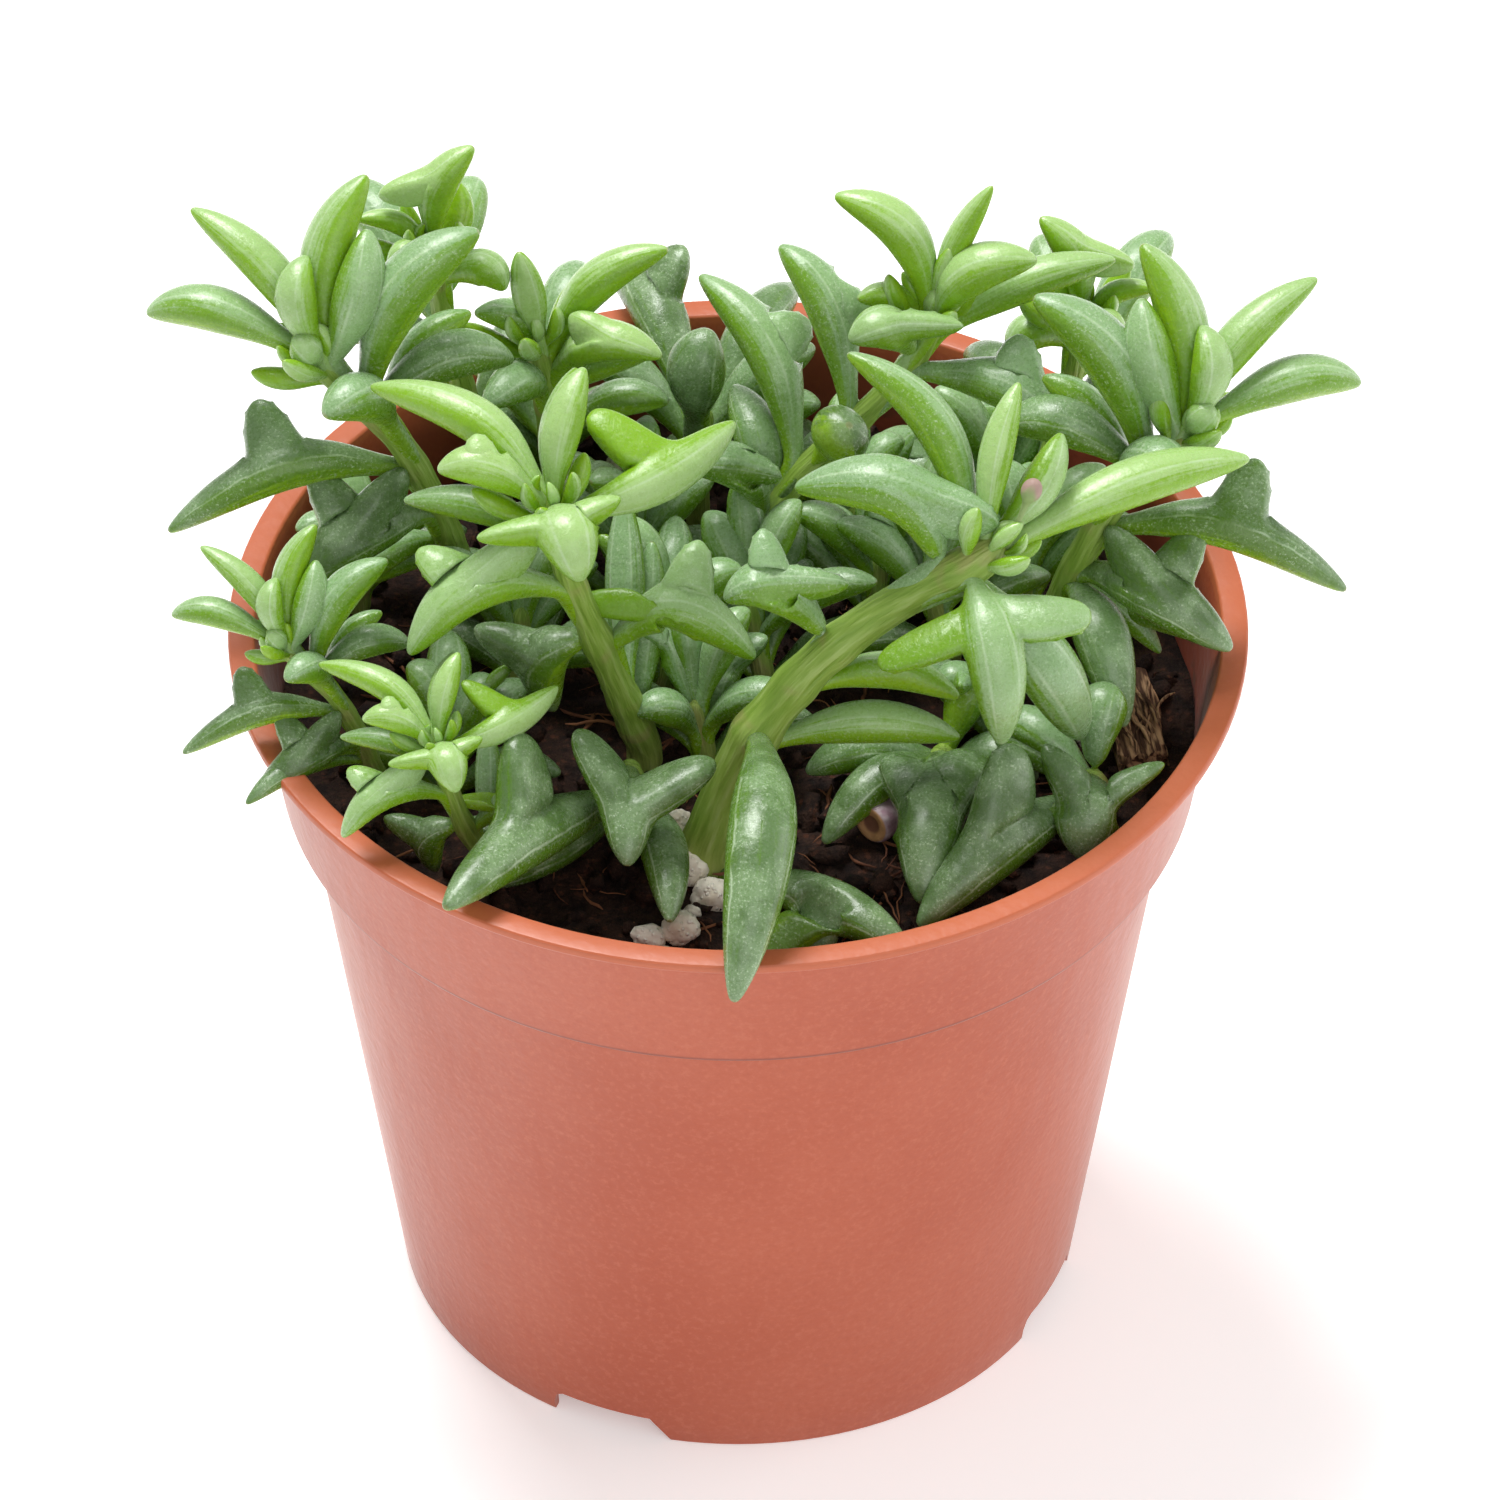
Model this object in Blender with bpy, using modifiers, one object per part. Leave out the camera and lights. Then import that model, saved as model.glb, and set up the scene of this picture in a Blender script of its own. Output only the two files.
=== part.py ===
"""Potted string of dolphins: a trailing succulent in a 12 cm plastic nursery pot.

The pot stands on its feet at z = 0, centred on the Z axis, with the plant's front towards -Y.
Stems are planted in holes in the soil, and each leaf starts just off its stem.
"""

import math

import bmesh
import bpy
from mathutils import Matrix, Vector

MM = 0.001
GAP = 0.3 * MM  # between pieces that touch

# Pot
POT_HEIGHT = 94 * MM
RIM_RADIUS = 60 * MM
LIP_WIDTH = 2.5 * MM  # how far the lip stands out from the collar
LIP_THICKNESS = 1.2 * MM
WALL = 1.2 * MM
COLLAR_DEPTH = 20.7 * MM
COLLAR_DRAFT = 0.165  # radius lost per height on the collar
COLLAR_STEP = 2.8 * MM
BASE_RADIUS = 40.3 * MM
FLOOR_HEIGHT = 5 * MM  # underside of the raised floor
FOOT_GAP_COUNT = 4
FOOT_GAP_WIDTH = 15 * MM
FOOT_GAP_HEIGHT = 3.5 * MM
FOOT_GAP_TURN = math.radians(-22)  # first gap, from the front towards +X
DRAIN_COUNT = 6
DRAIN_RADIUS = 4 * MM
DRAIN_CIRCLE = 24 * MM
POT_STEPS = 64

# Soil
SOIL_DEPTH = 13.5 * MM  # below the rim
SOIL_SIDES = 48
ROOT_DEPTH = 4 * MM  # how deep the stems are planted

# Plant: lengths below are in millimetres, from the rim's centre, for a rim of GROWN_IN radius
GROWN_IN = 60 * MM
STEM_RADIUS = 2.25 * MM
STEM_SIDES_EACH_QUARTER = 2
LEAF_SIDES = 6
LEAF_FLATNESS = 0.74  # thickness over width
LOBE_REACH = 0.9
PETIOLE = 0.3  # half width at the stem, over the leaf's half width
LEAF_STATIONS = (  # place along the leaf, half width over the widest
    (0.0, PETIOLE),
    (0.16, 0.4),
    (0.34, 0.76),
    (0.52, 1.0),
    (0.7, 0.93),
    (0.87, 0.6),
    (1.0, 0.07),
)
LOBE_BANDS = (2, 3)  # the stretches between stations that a lobe grows from
LOBE_PLACE = 0.56

GROWTH = RIM_RADIUS / GROWN_IN
SOIL_TOP = POT_HEIGHT - SOIL_DEPTH
FOOT_Z = SOIL_TOP - ROOT_DEPTH

parts = bpy.data.collections.new("potted_string_of_dolphins")
cutters = bpy.data.collections.new("cutters")


def clear_scene():
    for thing in list(bpy.data.objects):
        bpy.data.objects.remove(thing, do_unlink=True)
    bpy.context.scene.collection.children.link(parts)
    bpy.context.scene.collection.children.link(cutters)


def material(name, colour, roughness):
    made = bpy.data.materials.new(name)
    made.use_nodes = True
    shader = made.node_tree.nodes["Principled BSDF"]
    shader.inputs["Base Color"].default_value = (*colour, 1)
    shader.inputs["Roughness"].default_value = roughness
    shader.inputs["Metallic"].default_value = 0
    return made


def add_object(name, data, finish=None, collection=None):
    made = bpy.data.objects.new(name, data)
    (collection or parts).objects.link(made)
    if finish:
        data.materials.append(finish)
    return made


def mesh_from(name, bm):
    bmesh.ops.recalc_face_normals(bm, faces=bm.faces)
    data = bpy.data.meshes.new(name)
    bm.to_mesh(data)
    bm.free()
    return data


def hide_cutter(cutter):
    cutter.hide_render = True
    cutter.display_type = "WIRE"
    return cutter


def cut(target, cutter):
    step = target.modifiers.new("cut_" + cutter.name, "BOOLEAN")
    step.operation = "DIFFERENCE"
    step.solver = "EXACT"
    step.object = cutter


def turned(name, outline, steps, finish):
    """A solid of revolution. The outline runs down the outer side, as (radius, height) points."""
    bm = bmesh.new()
    corners = [bm.verts.new((radius, 0, height)) for radius, height in outline]
    for first, second in zip(corners, corners[1:]):
        bm.edges.new((first, second))
    data = bpy.data.meshes.new(name)
    bm.to_mesh(data)
    bm.free()
    made = add_object(name, data, finish)
    screw = made.modifiers.new("turn", "SCREW")
    screw.steps = steps
    screw.render_steps = steps
    screw.use_merge_vertices = True
    screw.merge_threshold = 0.00001
    screw.use_smooth_shade = True
    return made


def smooth_curve(points, per_span=4):
    """Points on a smooth curve through the given ones (Catmull-Rom)."""
    padded = [2 * points[0] - points[1], *points, 2 * points[-1] - points[-2]]
    found = []
    for a, b, c, d in zip(padded, padded[1:], padded[2:], padded[3:]):
        for step in range(per_span):
            t = step / per_span
            bend = (2 * a - 5 * b + 4 * c - d) * t * t + (3 * b - a - 3 * c + d) * t**3
            found.append((2 * b + (c - a) * t + bend) / 2)
    return [*found, points[-1]]


# Pot ------------------------------------------------------------------------------------------


def collar_radius(depth):
    """Outer radius of the collar at a depth below the rim."""
    return RIM_RADIUS - LIP_WIDTH - COLLAR_DRAFT * depth


def body_radius(height):
    """Outer radius of the body below the collar, at a height above the table."""
    top = collar_radius(COLLAR_DEPTH) - COLLAR_STEP
    share = height / (POT_HEIGHT - COLLAR_DEPTH)
    return BASE_RADIUS + (top - BASE_RADIUS) * share


def make_pot(finish):
    seam = POT_HEIGHT - COLLAR_DEPTH
    floor_top = FLOOR_HEIGHT + WALL
    step_top = seam + COLLAR_STEP
    outer = [
        (RIM_RADIUS - LIP_THICKNESS / 3, POT_HEIGHT),
        (RIM_RADIUS, POT_HEIGHT - LIP_THICKNESS / 3),
        (RIM_RADIUS, POT_HEIGHT - LIP_THICKNESS),
        (collar_radius(LIP_THICKNESS), POT_HEIGHT - LIP_THICKNESS * 1.6),
        (collar_radius(COLLAR_DEPTH * 0.9), POT_HEIGHT - COLLAR_DEPTH * 0.9),
        (collar_radius(COLLAR_DEPTH) - COLLAR_STEP / 3, seam),
        (body_radius(seam), seam - COLLAR_STEP / 3),
        (body_radius(0), 0),
        (body_radius(0) - WALL, 0),
        (body_radius(FLOOR_HEIGHT) - WALL, FLOOR_HEIGHT),
        (0, FLOOR_HEIGHT),
    ]
    inner = [
        (0, floor_top),
        (body_radius(floor_top) - WALL, floor_top),
        (body_radius(seam) - WALL, seam),
        (collar_radius(COLLAR_DEPTH - COLLAR_STEP) - WALL, step_top),
        (collar_radius(LIP_THICKNESS) - WALL, POT_HEIGHT - LIP_THICKNESS),
        (collar_radius(LIP_THICKNESS) - WALL, POT_HEIGHT),
    ]
    pot = turned("pot", [*inner, *outer], POT_STEPS, finish)
    for index in range(FOOT_GAP_COUNT):
        turn = FOOT_GAP_TURN + index * math.tau / FOOT_GAP_COUNT
        place = Matrix.Rotation(turn, 4, "Z") @ Matrix.Translation((0, -BASE_RADIUS, 0))
        bm = bmesh.new()
        box = (FOOT_GAP_WIDTH, BASE_RADIUS / 2, 2 * FOOT_GAP_HEIGHT)
        bmesh.ops.create_cube(bm, size=1, matrix=place @ Matrix.Diagonal((*box, 1)))
        gap = add_object(f"foot_gap_{index + 1}", mesh_from("foot_gap", bm), collection=cutters)
        cut(pot, hide_cutter(gap))
    bm = bmesh.new()
    for index in range(DRAIN_COUNT):
        turn = Matrix.Rotation(index * math.tau / DRAIN_COUNT, 4, "Z")
        bmesh.ops.create_cone(
            bm,
            cap_ends=True,
            segments=12,
            radius1=DRAIN_RADIUS,
            radius2=DRAIN_RADIUS,
            depth=WALL * 3,
            matrix=turn @ Matrix.Translation((DRAIN_CIRCLE, 0, FLOOR_HEIGHT + WALL / 2)),
        )
    drains = add_object("drain_holes", mesh_from("drain_holes", bm), collection=cutters)
    cut(pot, hide_cutter(drains))
    return pot


# Soil and what lies on it ---------------------------------------------------------------------


def wall_inside(height):
    """Inner radius of the pot at a height above the table."""
    depth = POT_HEIGHT - height
    if depth < COLLAR_DEPTH - COLLAR_STEP:
        return collar_radius(depth) - WALL
    return body_radius(min(height, POT_HEIGHT - COLLAR_DEPTH)) - WALL


def make_soil(finish):
    seam = POT_HEIGHT - COLLAR_DEPTH
    bottom = FLOOR_HEIGHT + WALL + GAP
    steep = 1 / math.cos(math.pi / SOIL_SIDES)  # keeps flats and corners inside the wall
    side = GAP * steep + GAP
    outline = [
        (0, SOIL_TOP),
        (wall_inside(SOIL_TOP) - side, SOIL_TOP),
        (collar_radius(COLLAR_DEPTH - COLLAR_STEP) - WALL - side, seam + COLLAR_STEP + GAP),
        (body_radius(seam) - WALL - side, seam + GAP),
        (body_radius(bottom) - WALL - side, bottom),
        (0, bottom),
    ]
    return turned("soil", outline, SOIL_SIDES, finish)


PERLITE = (  # x, y, radius: grains of puffed perlite lying on the soil
    (-7.5, -28.5, 2.0),
    (-6.0, -33.0, 2.2),
)
BARK_CHIP = (46.5, -3, 15, 5, 2.4)  # x, y, length, width, thickness
CUT_STEM = (17, -20, 3, 6)  # x, y, radius, length


def make_pebble(name, x, y, size, finish):
    """A faceted grain, flattened where it lies on the soil."""
    bm = bmesh.new()
    bmesh.ops.create_icosphere(bm, subdivisions=1, radius=1)
    lift = size[2] * GROWTH * MM * 0.9
    middle = (x * GROWTH * MM, y * GROWTH * MM, SOIL_TOP + GAP + lift)
    spread = Matrix.Diagonal((*(s * GROWTH * MM for s in size), 1))
    bmesh.ops.transform(bm, matrix=Matrix.Translation(middle) @ spread, verts=bm.verts)
    for vertex in bm.verts:
        vertex.co.z = max(vertex.co.z, SOIL_TOP + GAP)
    return add_object(name, mesh_from(name, bm), finish)


def make_litter(perlite, bark, cut_wood):
    for index, (x, y, radius) in enumerate(PERLITE):
        make_pebble(f"perlite_{index + 1}", x, y, (radius, radius * 0.85, radius * 0.8), perlite)
    x, y, length, width, thickness = BARK_CHIP
    bm = bmesh.new()
    bmesh.ops.create_cube(bm, size=1)
    size = Matrix.Diagonal((length * MM, width * MM, thickness * MM, 1))
    middle = (x * GROWTH * MM, y * GROWTH * MM, SOIL_TOP + GAP + thickness * MM / 2)
    place = Matrix.Translation(middle) @ Matrix.Rotation(math.radians(100), 4, "Z")
    bmesh.ops.transform(bm, matrix=place @ size, verts=bm.verts)
    chip = add_object("bark_chip", mesh_from("bark_chip", bm), bark)
    soften = chip.modifiers.new("soften", "BEVEL")
    soften.width = thickness * MM / 4
    soften.segments = 1
    x, y, radius, length = CUT_STEM
    bm = bmesh.new()
    lying = Matrix.Rotation(math.radians(90), 4, "Y") @ Matrix.Rotation(math.radians(60), 4, "X")
    middle = (x * GROWTH * MM, y * GROWTH * MM, SOIL_TOP + GAP + radius * MM)
    bmesh.ops.create_cone(
        bm,
        cap_ends=True,
        segments=8,
        radius1=radius * MM,
        radius2=radius * MM,
        depth=length * MM,
        matrix=Matrix.Translation(middle) @ lying,
    )
    add_object("cut_stem", mesh_from("cut_stem", bm), cut_wood)


# Plant ----------------------------------------------------------------------------------------
#
# A shoot is its stem's points, from the soil up, and its leaves. A leaf row holds its place on
# the stem (0 at the soil, 1 at the growing tip), the reach from there to its point, the bow of
# its middle, its width, and the reach of each lobe from its middle. Heights count from the rim.

UPPER_LEFT = (
    [(-32, 15), (-34, 12, 3), (-37, 8, 16), (-41, 8, 24), (-46, 8, 30), (-50, 9, 35)],
    {
        "1": (0.99, (-19.5, 6, 1), (-1, 1, 3), 6.4, []),
        "2": (0.97, (-15, 12, 13), (2, -1, 2), 5.6, []),
        "4": (0.95, (5, 11, 20), (-3, 0, 1), 7.2, []),
        "6": (0.84, (14, 6, 21), (-3, 0, 3), 8.2, []),
        "8": (0.76, (-7, -9, 9), (1, 1, 3), 7.0, []),
        "10": (0.64, (-29, -6, -5), (1, 2, 4), 6.6, [(-3, 5, 6)]),
        "11": (0.5, (-18, -12, -3), (1, -1, 4), 7.0, [(-5, 5, 6), (6, 5, 6)]),
    },
)
CENTRE_LEFT = (
    [(-11, -8), (-16, -13, 8), (-20, -15, 22), (-22, -15, 33)],
    {
        "1": (0.98, (-21, 15, 5), (3, 0, 3), 6.4, []),
        "3": (0.93, (21, 14, 3), (1, -3, 1), 6.0, [(-9, 5, 5)]),
        "6": (0.73, (-19, -10, -2), (-1, 0, 6), 6.8, [(8, 4, 5)]),
        "8": (0.51, (18, -2, 0), (-1, 1, 6), 6.6, [(2, 5, 6)]),
    },
)
BACK_LEFT = (
    [(-28, 34), (-32, 29, 10), (-35, 26, 28), (-36, 25, 38)],
    {
        "1": (0.98, (5, 3, 13), (-2, 0, 1), 5.4, [(-7, -1, -1)]),
        "6": (0.7, (-12, 18, 9), (-1, 1, 4), 6.6, []),
    },
)
BACK_MIDDLE = (
    [(-19, 33), (-22, 29, 4), (-23, 25, 18), (-24, 25, 24)],
    {
        "4": (0.9, (15, 4, 14), (-2, 1, 2), 5.2, []),
        "5": (0.84, (14, -6, 8), (-1, 0, 4), 4.8, []),
    },
)
BACK_LOW = (
    [(-5, 36), (-5, 36, -4), (-4, 35, 4)],
    {
        "2": (0.8, (-10, 27, 2), (0, 1, 6), 7.0, [(4, 2, 6)]),
        "3": (0.6, (12, 22, 8), (0, 0, 5), 6.4, []),
    },
)
MIDDLE = (
    [(-4, 16), (0, 12, 0), (6, 16, 8), (13, 17, 16), (20, 19, 24), (24, 21, 32)],
    {
        "1": (0.53, (-12, 16, 17), (3, -1, 3), 6.6, [(5, 2, 2)]),
        "2": (0.69, (-9, 12, 17), (2, 0, 3), 6.4, [(5, -1, -1)]),
        "5": (0.97, (-12, 4, 15), (3, 0, 3), 6.4, []),
        "7": (0.96, (12, -1, 10), (-2, 0, 3), 6.6, []),
        "8": (0.93, (22, 5, 7), (-1, 0, 2), 5.6, []),
        "9": (0.85, (19, -9, -4), (2, -1, 4), 6.8, [(0, 4, 5)]),
    },
)
CENTRE_RIGHT = (
    [(-4, -26), (1, -24, 2), (8, -22, 12), (15, -20, 18), (21, -19, 22), (27, -19, 26), (31, -18, 29)],
    {
        "1": (0.61, (-13, 0, 7), (0, 0, 5), 6.8, [(-1, 4, 5)]),
        "2": (0.8, (-14, 7, 10), (3, 0, 5), 6.2, [(11, -2, -2)]),
        "3": (0.91, (4, -15, -18), (1, -3, 4), 7.0, [(-12, 2, 2), (12, 6, 7)]),
        "4": (0.97, (30, 15, 1), (0, 0, 3), 6.4, []),
        "7": (0.38, (-3, -40, -7), (2, -2, 9), 8.8, []),
    },
)
FRONT_LEFT = (
    [(-12, -18), (-12, -19, -8), (-13, -21, -3)],
    {
        "1": (0.6, (-22, -35, 12), (0, -1, 4), 7.4, [(-1, 8, 9)]),
        "3": (0.95, (0, -21, 3), (0, -2, 4), 6.4, [(-6, 6, 7), (10, 4, 4)]),
    },
)
FRONT_RIGHT = (
    [(42, -19), (42, -20, -8), (41, -22, -4)],
    {
        "1": (0.7, (-21, -22, -2), (0, -1, 4), 6.4, [(2, 8, 9)]),
    },
)


def moved(shoot, keep, change_point, change_reach, scale=1.0):
    """A copy of a shoot, with its points and its reaches changed, and only the named leaves."""
    stem, leaves = shoot
    new_leaves = {}
    for name in keep:
        place, reach, bow, width, lobes = leaves[name]
        new_lobes = [change_reach(*lobe) for lobe in lobes]
        row = (place, change_reach(*reach), change_reach(*bow), width * scale, new_lobes)
        new_leaves[name] = row
    return [change_point(*point) for point in stem], new_leaves


def right_point(x, y, z=None):
    """The upper right shoot grows as the upper left one does, a little nearer and lower."""
    return (3.6 - x, y - 6) if z is None else (3.6 - x, y - 6, z - 5.7)


def back_right_point(x, y, z=None):
    return (4.5 - x, y + 3) if z is None else (4.5 - x, y + 3, z - 13.5)


def mirror_reach(x, y, z):
    return (-x, y, z)


def small_point(x, y, z=None):
    """The low shoots at the left are two thirds of the size of the ones above them."""
    flat = (0.655 * x - 20.7, 0.655 * y - 24.5)
    return flat if z is None else (*flat, 0.655 * z - 8.8)


def small_reach(x, y, z):
    return (0.655 * x, 0.655 * y, 0.655 * z)


def all_shoots():
    upper_right = moved(UPPER_LEFT, ["2", "4", "6", "10", "11"], right_point, mirror_reach)
    upper_right[1]["1"] = (0.99, (17.5, 6, 1), (1, 1, 3), 6.4, [])
    return {
        "upper_left": UPPER_LEFT,
        "upper_right": upper_right,
        "centre_left": CENTRE_LEFT,
        "centre_right": CENTRE_RIGHT,
        "middle": MIDDLE,
        "back_left": BACK_LEFT,
        "back_right": moved(BACK_LEFT, ["1", "6"], back_right_point, mirror_reach),
        "back_middle": BACK_MIDDLE,
        "back_low": BACK_LOW,
        "low_outer": moved(UPPER_LEFT, ["10"], small_point, small_reach, 0.655),
        "low_inner": moved(CENTRE_LEFT, ["6"], small_point, small_reach, 0.655),
        "front_left": FRONT_LEFT,
        "front_right": FRONT_RIGHT,
    }


def in_pot(x, y, z):
    return Vector((x * MM * GROWTH, y * MM * GROWTH, POT_HEIGHT + z * MM * GROWTH))


def stem_route(points):
    foot = Vector((points[0][0] * MM * GROWTH, points[0][1] * MM * GROWTH, FOOT_Z))
    collar = foot + Vector((0, 0, 1.5 * ROOT_DEPTH))
    above = [in_pot(*point) for point in points[1:]]
    return [foot, *smooth_curve([collar, *above])]


def along(route, place):
    """Point and direction at a share of the route's length."""
    spans = [(b - a).length for a, b in zip(route, route[1:])]
    left = place * sum(spans)
    for (a, b), span in zip(zip(route, route[1:]), spans):
        if left <= span:
            break
        left -= span
    way = (b - a).normalized()
    return a + way * left, way


def make_stem(name, route, finish):
    curve = bpy.data.curves.new(name, "CURVE")
    curve.dimensions = "3D"
    curve.bevel_depth = STEM_RADIUS * GROWTH
    curve.bevel_resolution = STEM_SIDES_EACH_QUARTER
    curve.use_fill_caps = True
    spline = curve.splines.new("POLY")
    spline.points.add(len(route) - 1)
    for point, place in zip(spline.points, route):
        point.co = (*place, 1)
    return add_object(name, curve, finish)


def make_hole(name, foot, soil):
    """The hole in the soil that a stem is planted in."""
    bm = bmesh.new()
    radius = STEM_RADIUS * GROWTH + 2 * GAP
    deep = 2 * (ROOT_DEPTH + GAP)
    bmesh.ops.create_cone(
        bm,
        cap_ends=True,
        segments=8,
        radius1=radius,
        radius2=radius,
        depth=deep,
        matrix=Matrix.Translation((foot.x, foot.y, SOIL_TOP)),
    )
    hole = add_object(name, mesh_from(name, bm), collection=cutters)
    cut(soil, hide_cutter(hole))


def leaf_frames(base, tip, bow):
    """Centre and directions (side, up, along) at each station of a leaf."""
    centres = []
    for place, _ in LEAF_STATIONS:
        centres.append(base.lerp(tip, place) + bow * math.sin(math.pi * place**1.1))
    up = bow if bow.length > MM else Vector((0, 0, 1))
    frames = []
    for index, centre in enumerate(centres):
        before = centres[max(index - 1, 0)]
        after = centres[min(index + 1, len(centres) - 1)]
        way = (after - before).normalized()
        side = way.cross(up).normalized()
        frames.append((centre, side, side.cross(way), way))
    return frames


def ring_matrix(frame, half_width, flatness):
    centre, side, up, way = frame
    columns = (side * half_width, up * half_width * flatness, way * MM)
    turn = Matrix(columns).transposed().to_4x4()
    return Matrix.Translation(centre) @ turn


def grow_lobe(bm, bands, middle, reach):
    """A pointed lobe, extruded from the side faces that look towards it."""
    lower, upper = ([face for face in band if face.is_valid] for band in bands)
    first = max(lower, key=lambda face: face.normal.dot(reach))
    facing = [first, *(face for face in upper if set(face.edges) & set(first.edges))]
    for share, size in ((0.5, 0.55), (LOBE_REACH, 0.2)):
        grown = bmesh.ops.extrude_face_region(bm, geom=facing)
        bmesh.ops.delete(bm, geom=facing, context="FACES_ONLY")
        facing = [item for item in grown["geom"] if isinstance(item, bmesh.types.BMFace)]
        corners = [item for item in grown["geom"] if isinstance(item, bmesh.types.BMVert)]
        centre = sum((corner.co for corner in corners), Vector()) / len(corners)
        place = Matrix.Translation(middle + reach * share)
        shrink = place @ Matrix.Scale(size, 4) @ Matrix.Translation(-centre)
        bmesh.ops.transform(bm, matrix=shrink, verts=corners)


def make_leaf(name, route, row, finish):
    place, reach, bow, width, lobes = row
    unit = MM * GROWTH
    start, way = along(route, place)
    tip = start + Vector(reach) * unit
    bow = Vector(bow) * unit
    half = width * unit / 2
    first = (tip - start).lerp(bow * 4, 0.4).normalized()
    outward = (first - way * first.dot(way)).normalized()
    tilt = math.sqrt(max(0, 1 - first.dot(outward) ** 2))
    base = start + outward * (STEM_RADIUS * GROWTH + GAP + half * PETIOLE * (tilt + 0.25))
    frames = leaf_frames(base, tip, bow)
    bm = bmesh.new()
    bmesh.ops.create_circle(bm, cap_ends=True, radius=1, segments=LEAF_SIDES)
    bm.faces.ensure_lookup_table()
    cap = bm.faces[0]
    before = Matrix.Identity(4)
    bands = []
    for index, (_, share) in enumerate(LEAF_STATIONS):
        if index == 1:
            grown = bmesh.ops.extrude_face_region(bm, geom=[cap])["geom"]
            cap = next(item for item in grown if isinstance(item, bmesh.types.BMFace))
        elif index > 1:
            cap = bmesh.ops.extrude_discrete_faces(bm, faces=[cap])["faces"][0]
        if index:
            bands.append([next(f for f in edge.link_faces if f != cap) for edge in cap.edges])
        ring = ring_matrix(frames[index], half * share, LEAF_FLATNESS)
        bmesh.ops.transform(bm, matrix=ring @ before.inverted(), verts=cap.verts)
        before = ring
    bmesh.ops.recalc_face_normals(bm, faces=bm.faces)
    middle = base.lerp(tip, LOBE_PLACE) + bow
    for lobe in lobes:
        grow_lobe(bm, [bands[band] for band in LOBE_BANDS], middle, Vector(lobe) * unit)
    return add_object(name, mesh_from(name, bm), finish)


def make_plant(soil, stem_finish, leaf_finish):
    for shoot, (points, leaves) in all_shoots().items():
        route = stem_route(points)
        make_stem(f"{shoot}_stem", route, stem_finish)
        make_hole(f"{shoot}_hole", route[0], soil)
        for name, row in leaves.items():
            make_leaf(f"{shoot}_leaf_{name}", route, row, leaf_finish)


clear_scene()
make_pot(material("terracotta_plastic", (0.48, 0.16, 0.09), 0.45))
ground = make_soil(material("potting_soil", (0.045, 0.028, 0.02), 0.95))
make_litter(
    material("perlite", (0.72, 0.7, 0.64), 0.9),
    material("bark", (0.24, 0.13, 0.06), 0.85),
    material("cut_wood", (0.5, 0.36, 0.3), 0.8),
)
make_plant(
    ground,
    material("stem_green", (0.34, 0.42, 0.13), 0.5),
    material("leaf_green", (0.17, 0.3, 0.12), 0.45),
)
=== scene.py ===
"""Looks for the potted string of dolphins: a trailing succulent in a plastic nursery pot.

Metres, +Z up, the plant's front towards -Y, and the pot's feet on the table at z = 0.
"""

import math
import random

import bmesh
import bpy
from mathutils import Matrix, Quaternion, Vector, noise


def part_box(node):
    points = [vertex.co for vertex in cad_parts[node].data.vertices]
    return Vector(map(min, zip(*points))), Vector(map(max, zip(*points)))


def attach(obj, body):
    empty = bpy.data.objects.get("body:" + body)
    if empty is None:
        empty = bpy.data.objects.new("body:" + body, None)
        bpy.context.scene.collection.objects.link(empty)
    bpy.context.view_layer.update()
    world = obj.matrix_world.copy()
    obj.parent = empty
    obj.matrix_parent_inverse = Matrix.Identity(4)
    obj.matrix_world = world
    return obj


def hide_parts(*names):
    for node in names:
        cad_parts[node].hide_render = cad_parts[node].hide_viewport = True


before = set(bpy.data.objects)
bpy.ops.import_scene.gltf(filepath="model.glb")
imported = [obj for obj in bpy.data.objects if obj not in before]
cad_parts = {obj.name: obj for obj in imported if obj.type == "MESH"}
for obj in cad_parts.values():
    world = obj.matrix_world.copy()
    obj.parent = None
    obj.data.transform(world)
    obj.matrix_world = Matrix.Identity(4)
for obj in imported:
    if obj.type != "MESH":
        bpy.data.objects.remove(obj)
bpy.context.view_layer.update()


# Pot -------------------------------------------------------------------------------------------
# A nursery pot injection moulded in thin terracotta plastic. It has a flat lip, a drafted collar,
# a soft step, a tapering body, and a raised floor with four gaps in its foot and six drain holes.

MM = 0.001
POT_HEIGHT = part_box("pot")[1].z
RIM_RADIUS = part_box("pot")[1].x
LIP_WIDTH = 2.5 * MM
LIP_THICKNESS = 1.2 * MM
WALL = 1.2 * MM
COLLAR_DEPTH = 20.7 * MM
COLLAR_DRAFT = 0.165
COLLAR_STEP = 2.8 * MM
COLLAR_EDGE = 0.97  # where the collar ends and its step starts, over its depth
BASE_RADIUS = 40.3 * MM
FLOOR_HEIGHT = 5 * MM
GATE_RADIUS = 4 * MM  # the button under the floor where the plastic was let in
GATE_DEPTH = 0.6 * MM
RIB_RADIUS = 14 * MM
RIB_WIDTH = 1.4 * MM
POT_STEPS = 128
FOOT_GAPS = 4
FOOT_GAP_WIDTH = 15 * MM
FOOT_GAP_HEIGHT = 3.5 * MM
FOOT_GAP_SLANT = 2.5 * MM
FOOT_GAP_TURN = math.radians(-22)
DRAINS = 6
DRAIN_RADIUS = 4 * MM
DRAIN_CIRCLE = 24 * MM
DRAIN_SIDES = 24
CREASE = math.radians(28)  # sharper edges than this are shaded as edges

TERRACOTTA = (0.395, 0.072, 0.026)
TERRACOTTA_PALE = (0.49, 0.13, 0.068)
TERRACOTTA_DARK = (0.37, 0.072, 0.031)
# A brighter orange painted on the top of the lip as a highlight.
LIP_HIGHLIGHT_ORANGE = (0.5, 0.125, 0.05)
# A darker red-brown painted on the inside wall as shade.
INSIDE_PAINTED_SHADE = (0.24, 0.05, 0.03)
# A dark line painted under the collar's edge as the shadow of its step.
STEP_SHADOW = (0.2, 0.045, 0.025)
SOIL_STAIN = (0.13, 0.05, 0.03)


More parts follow.
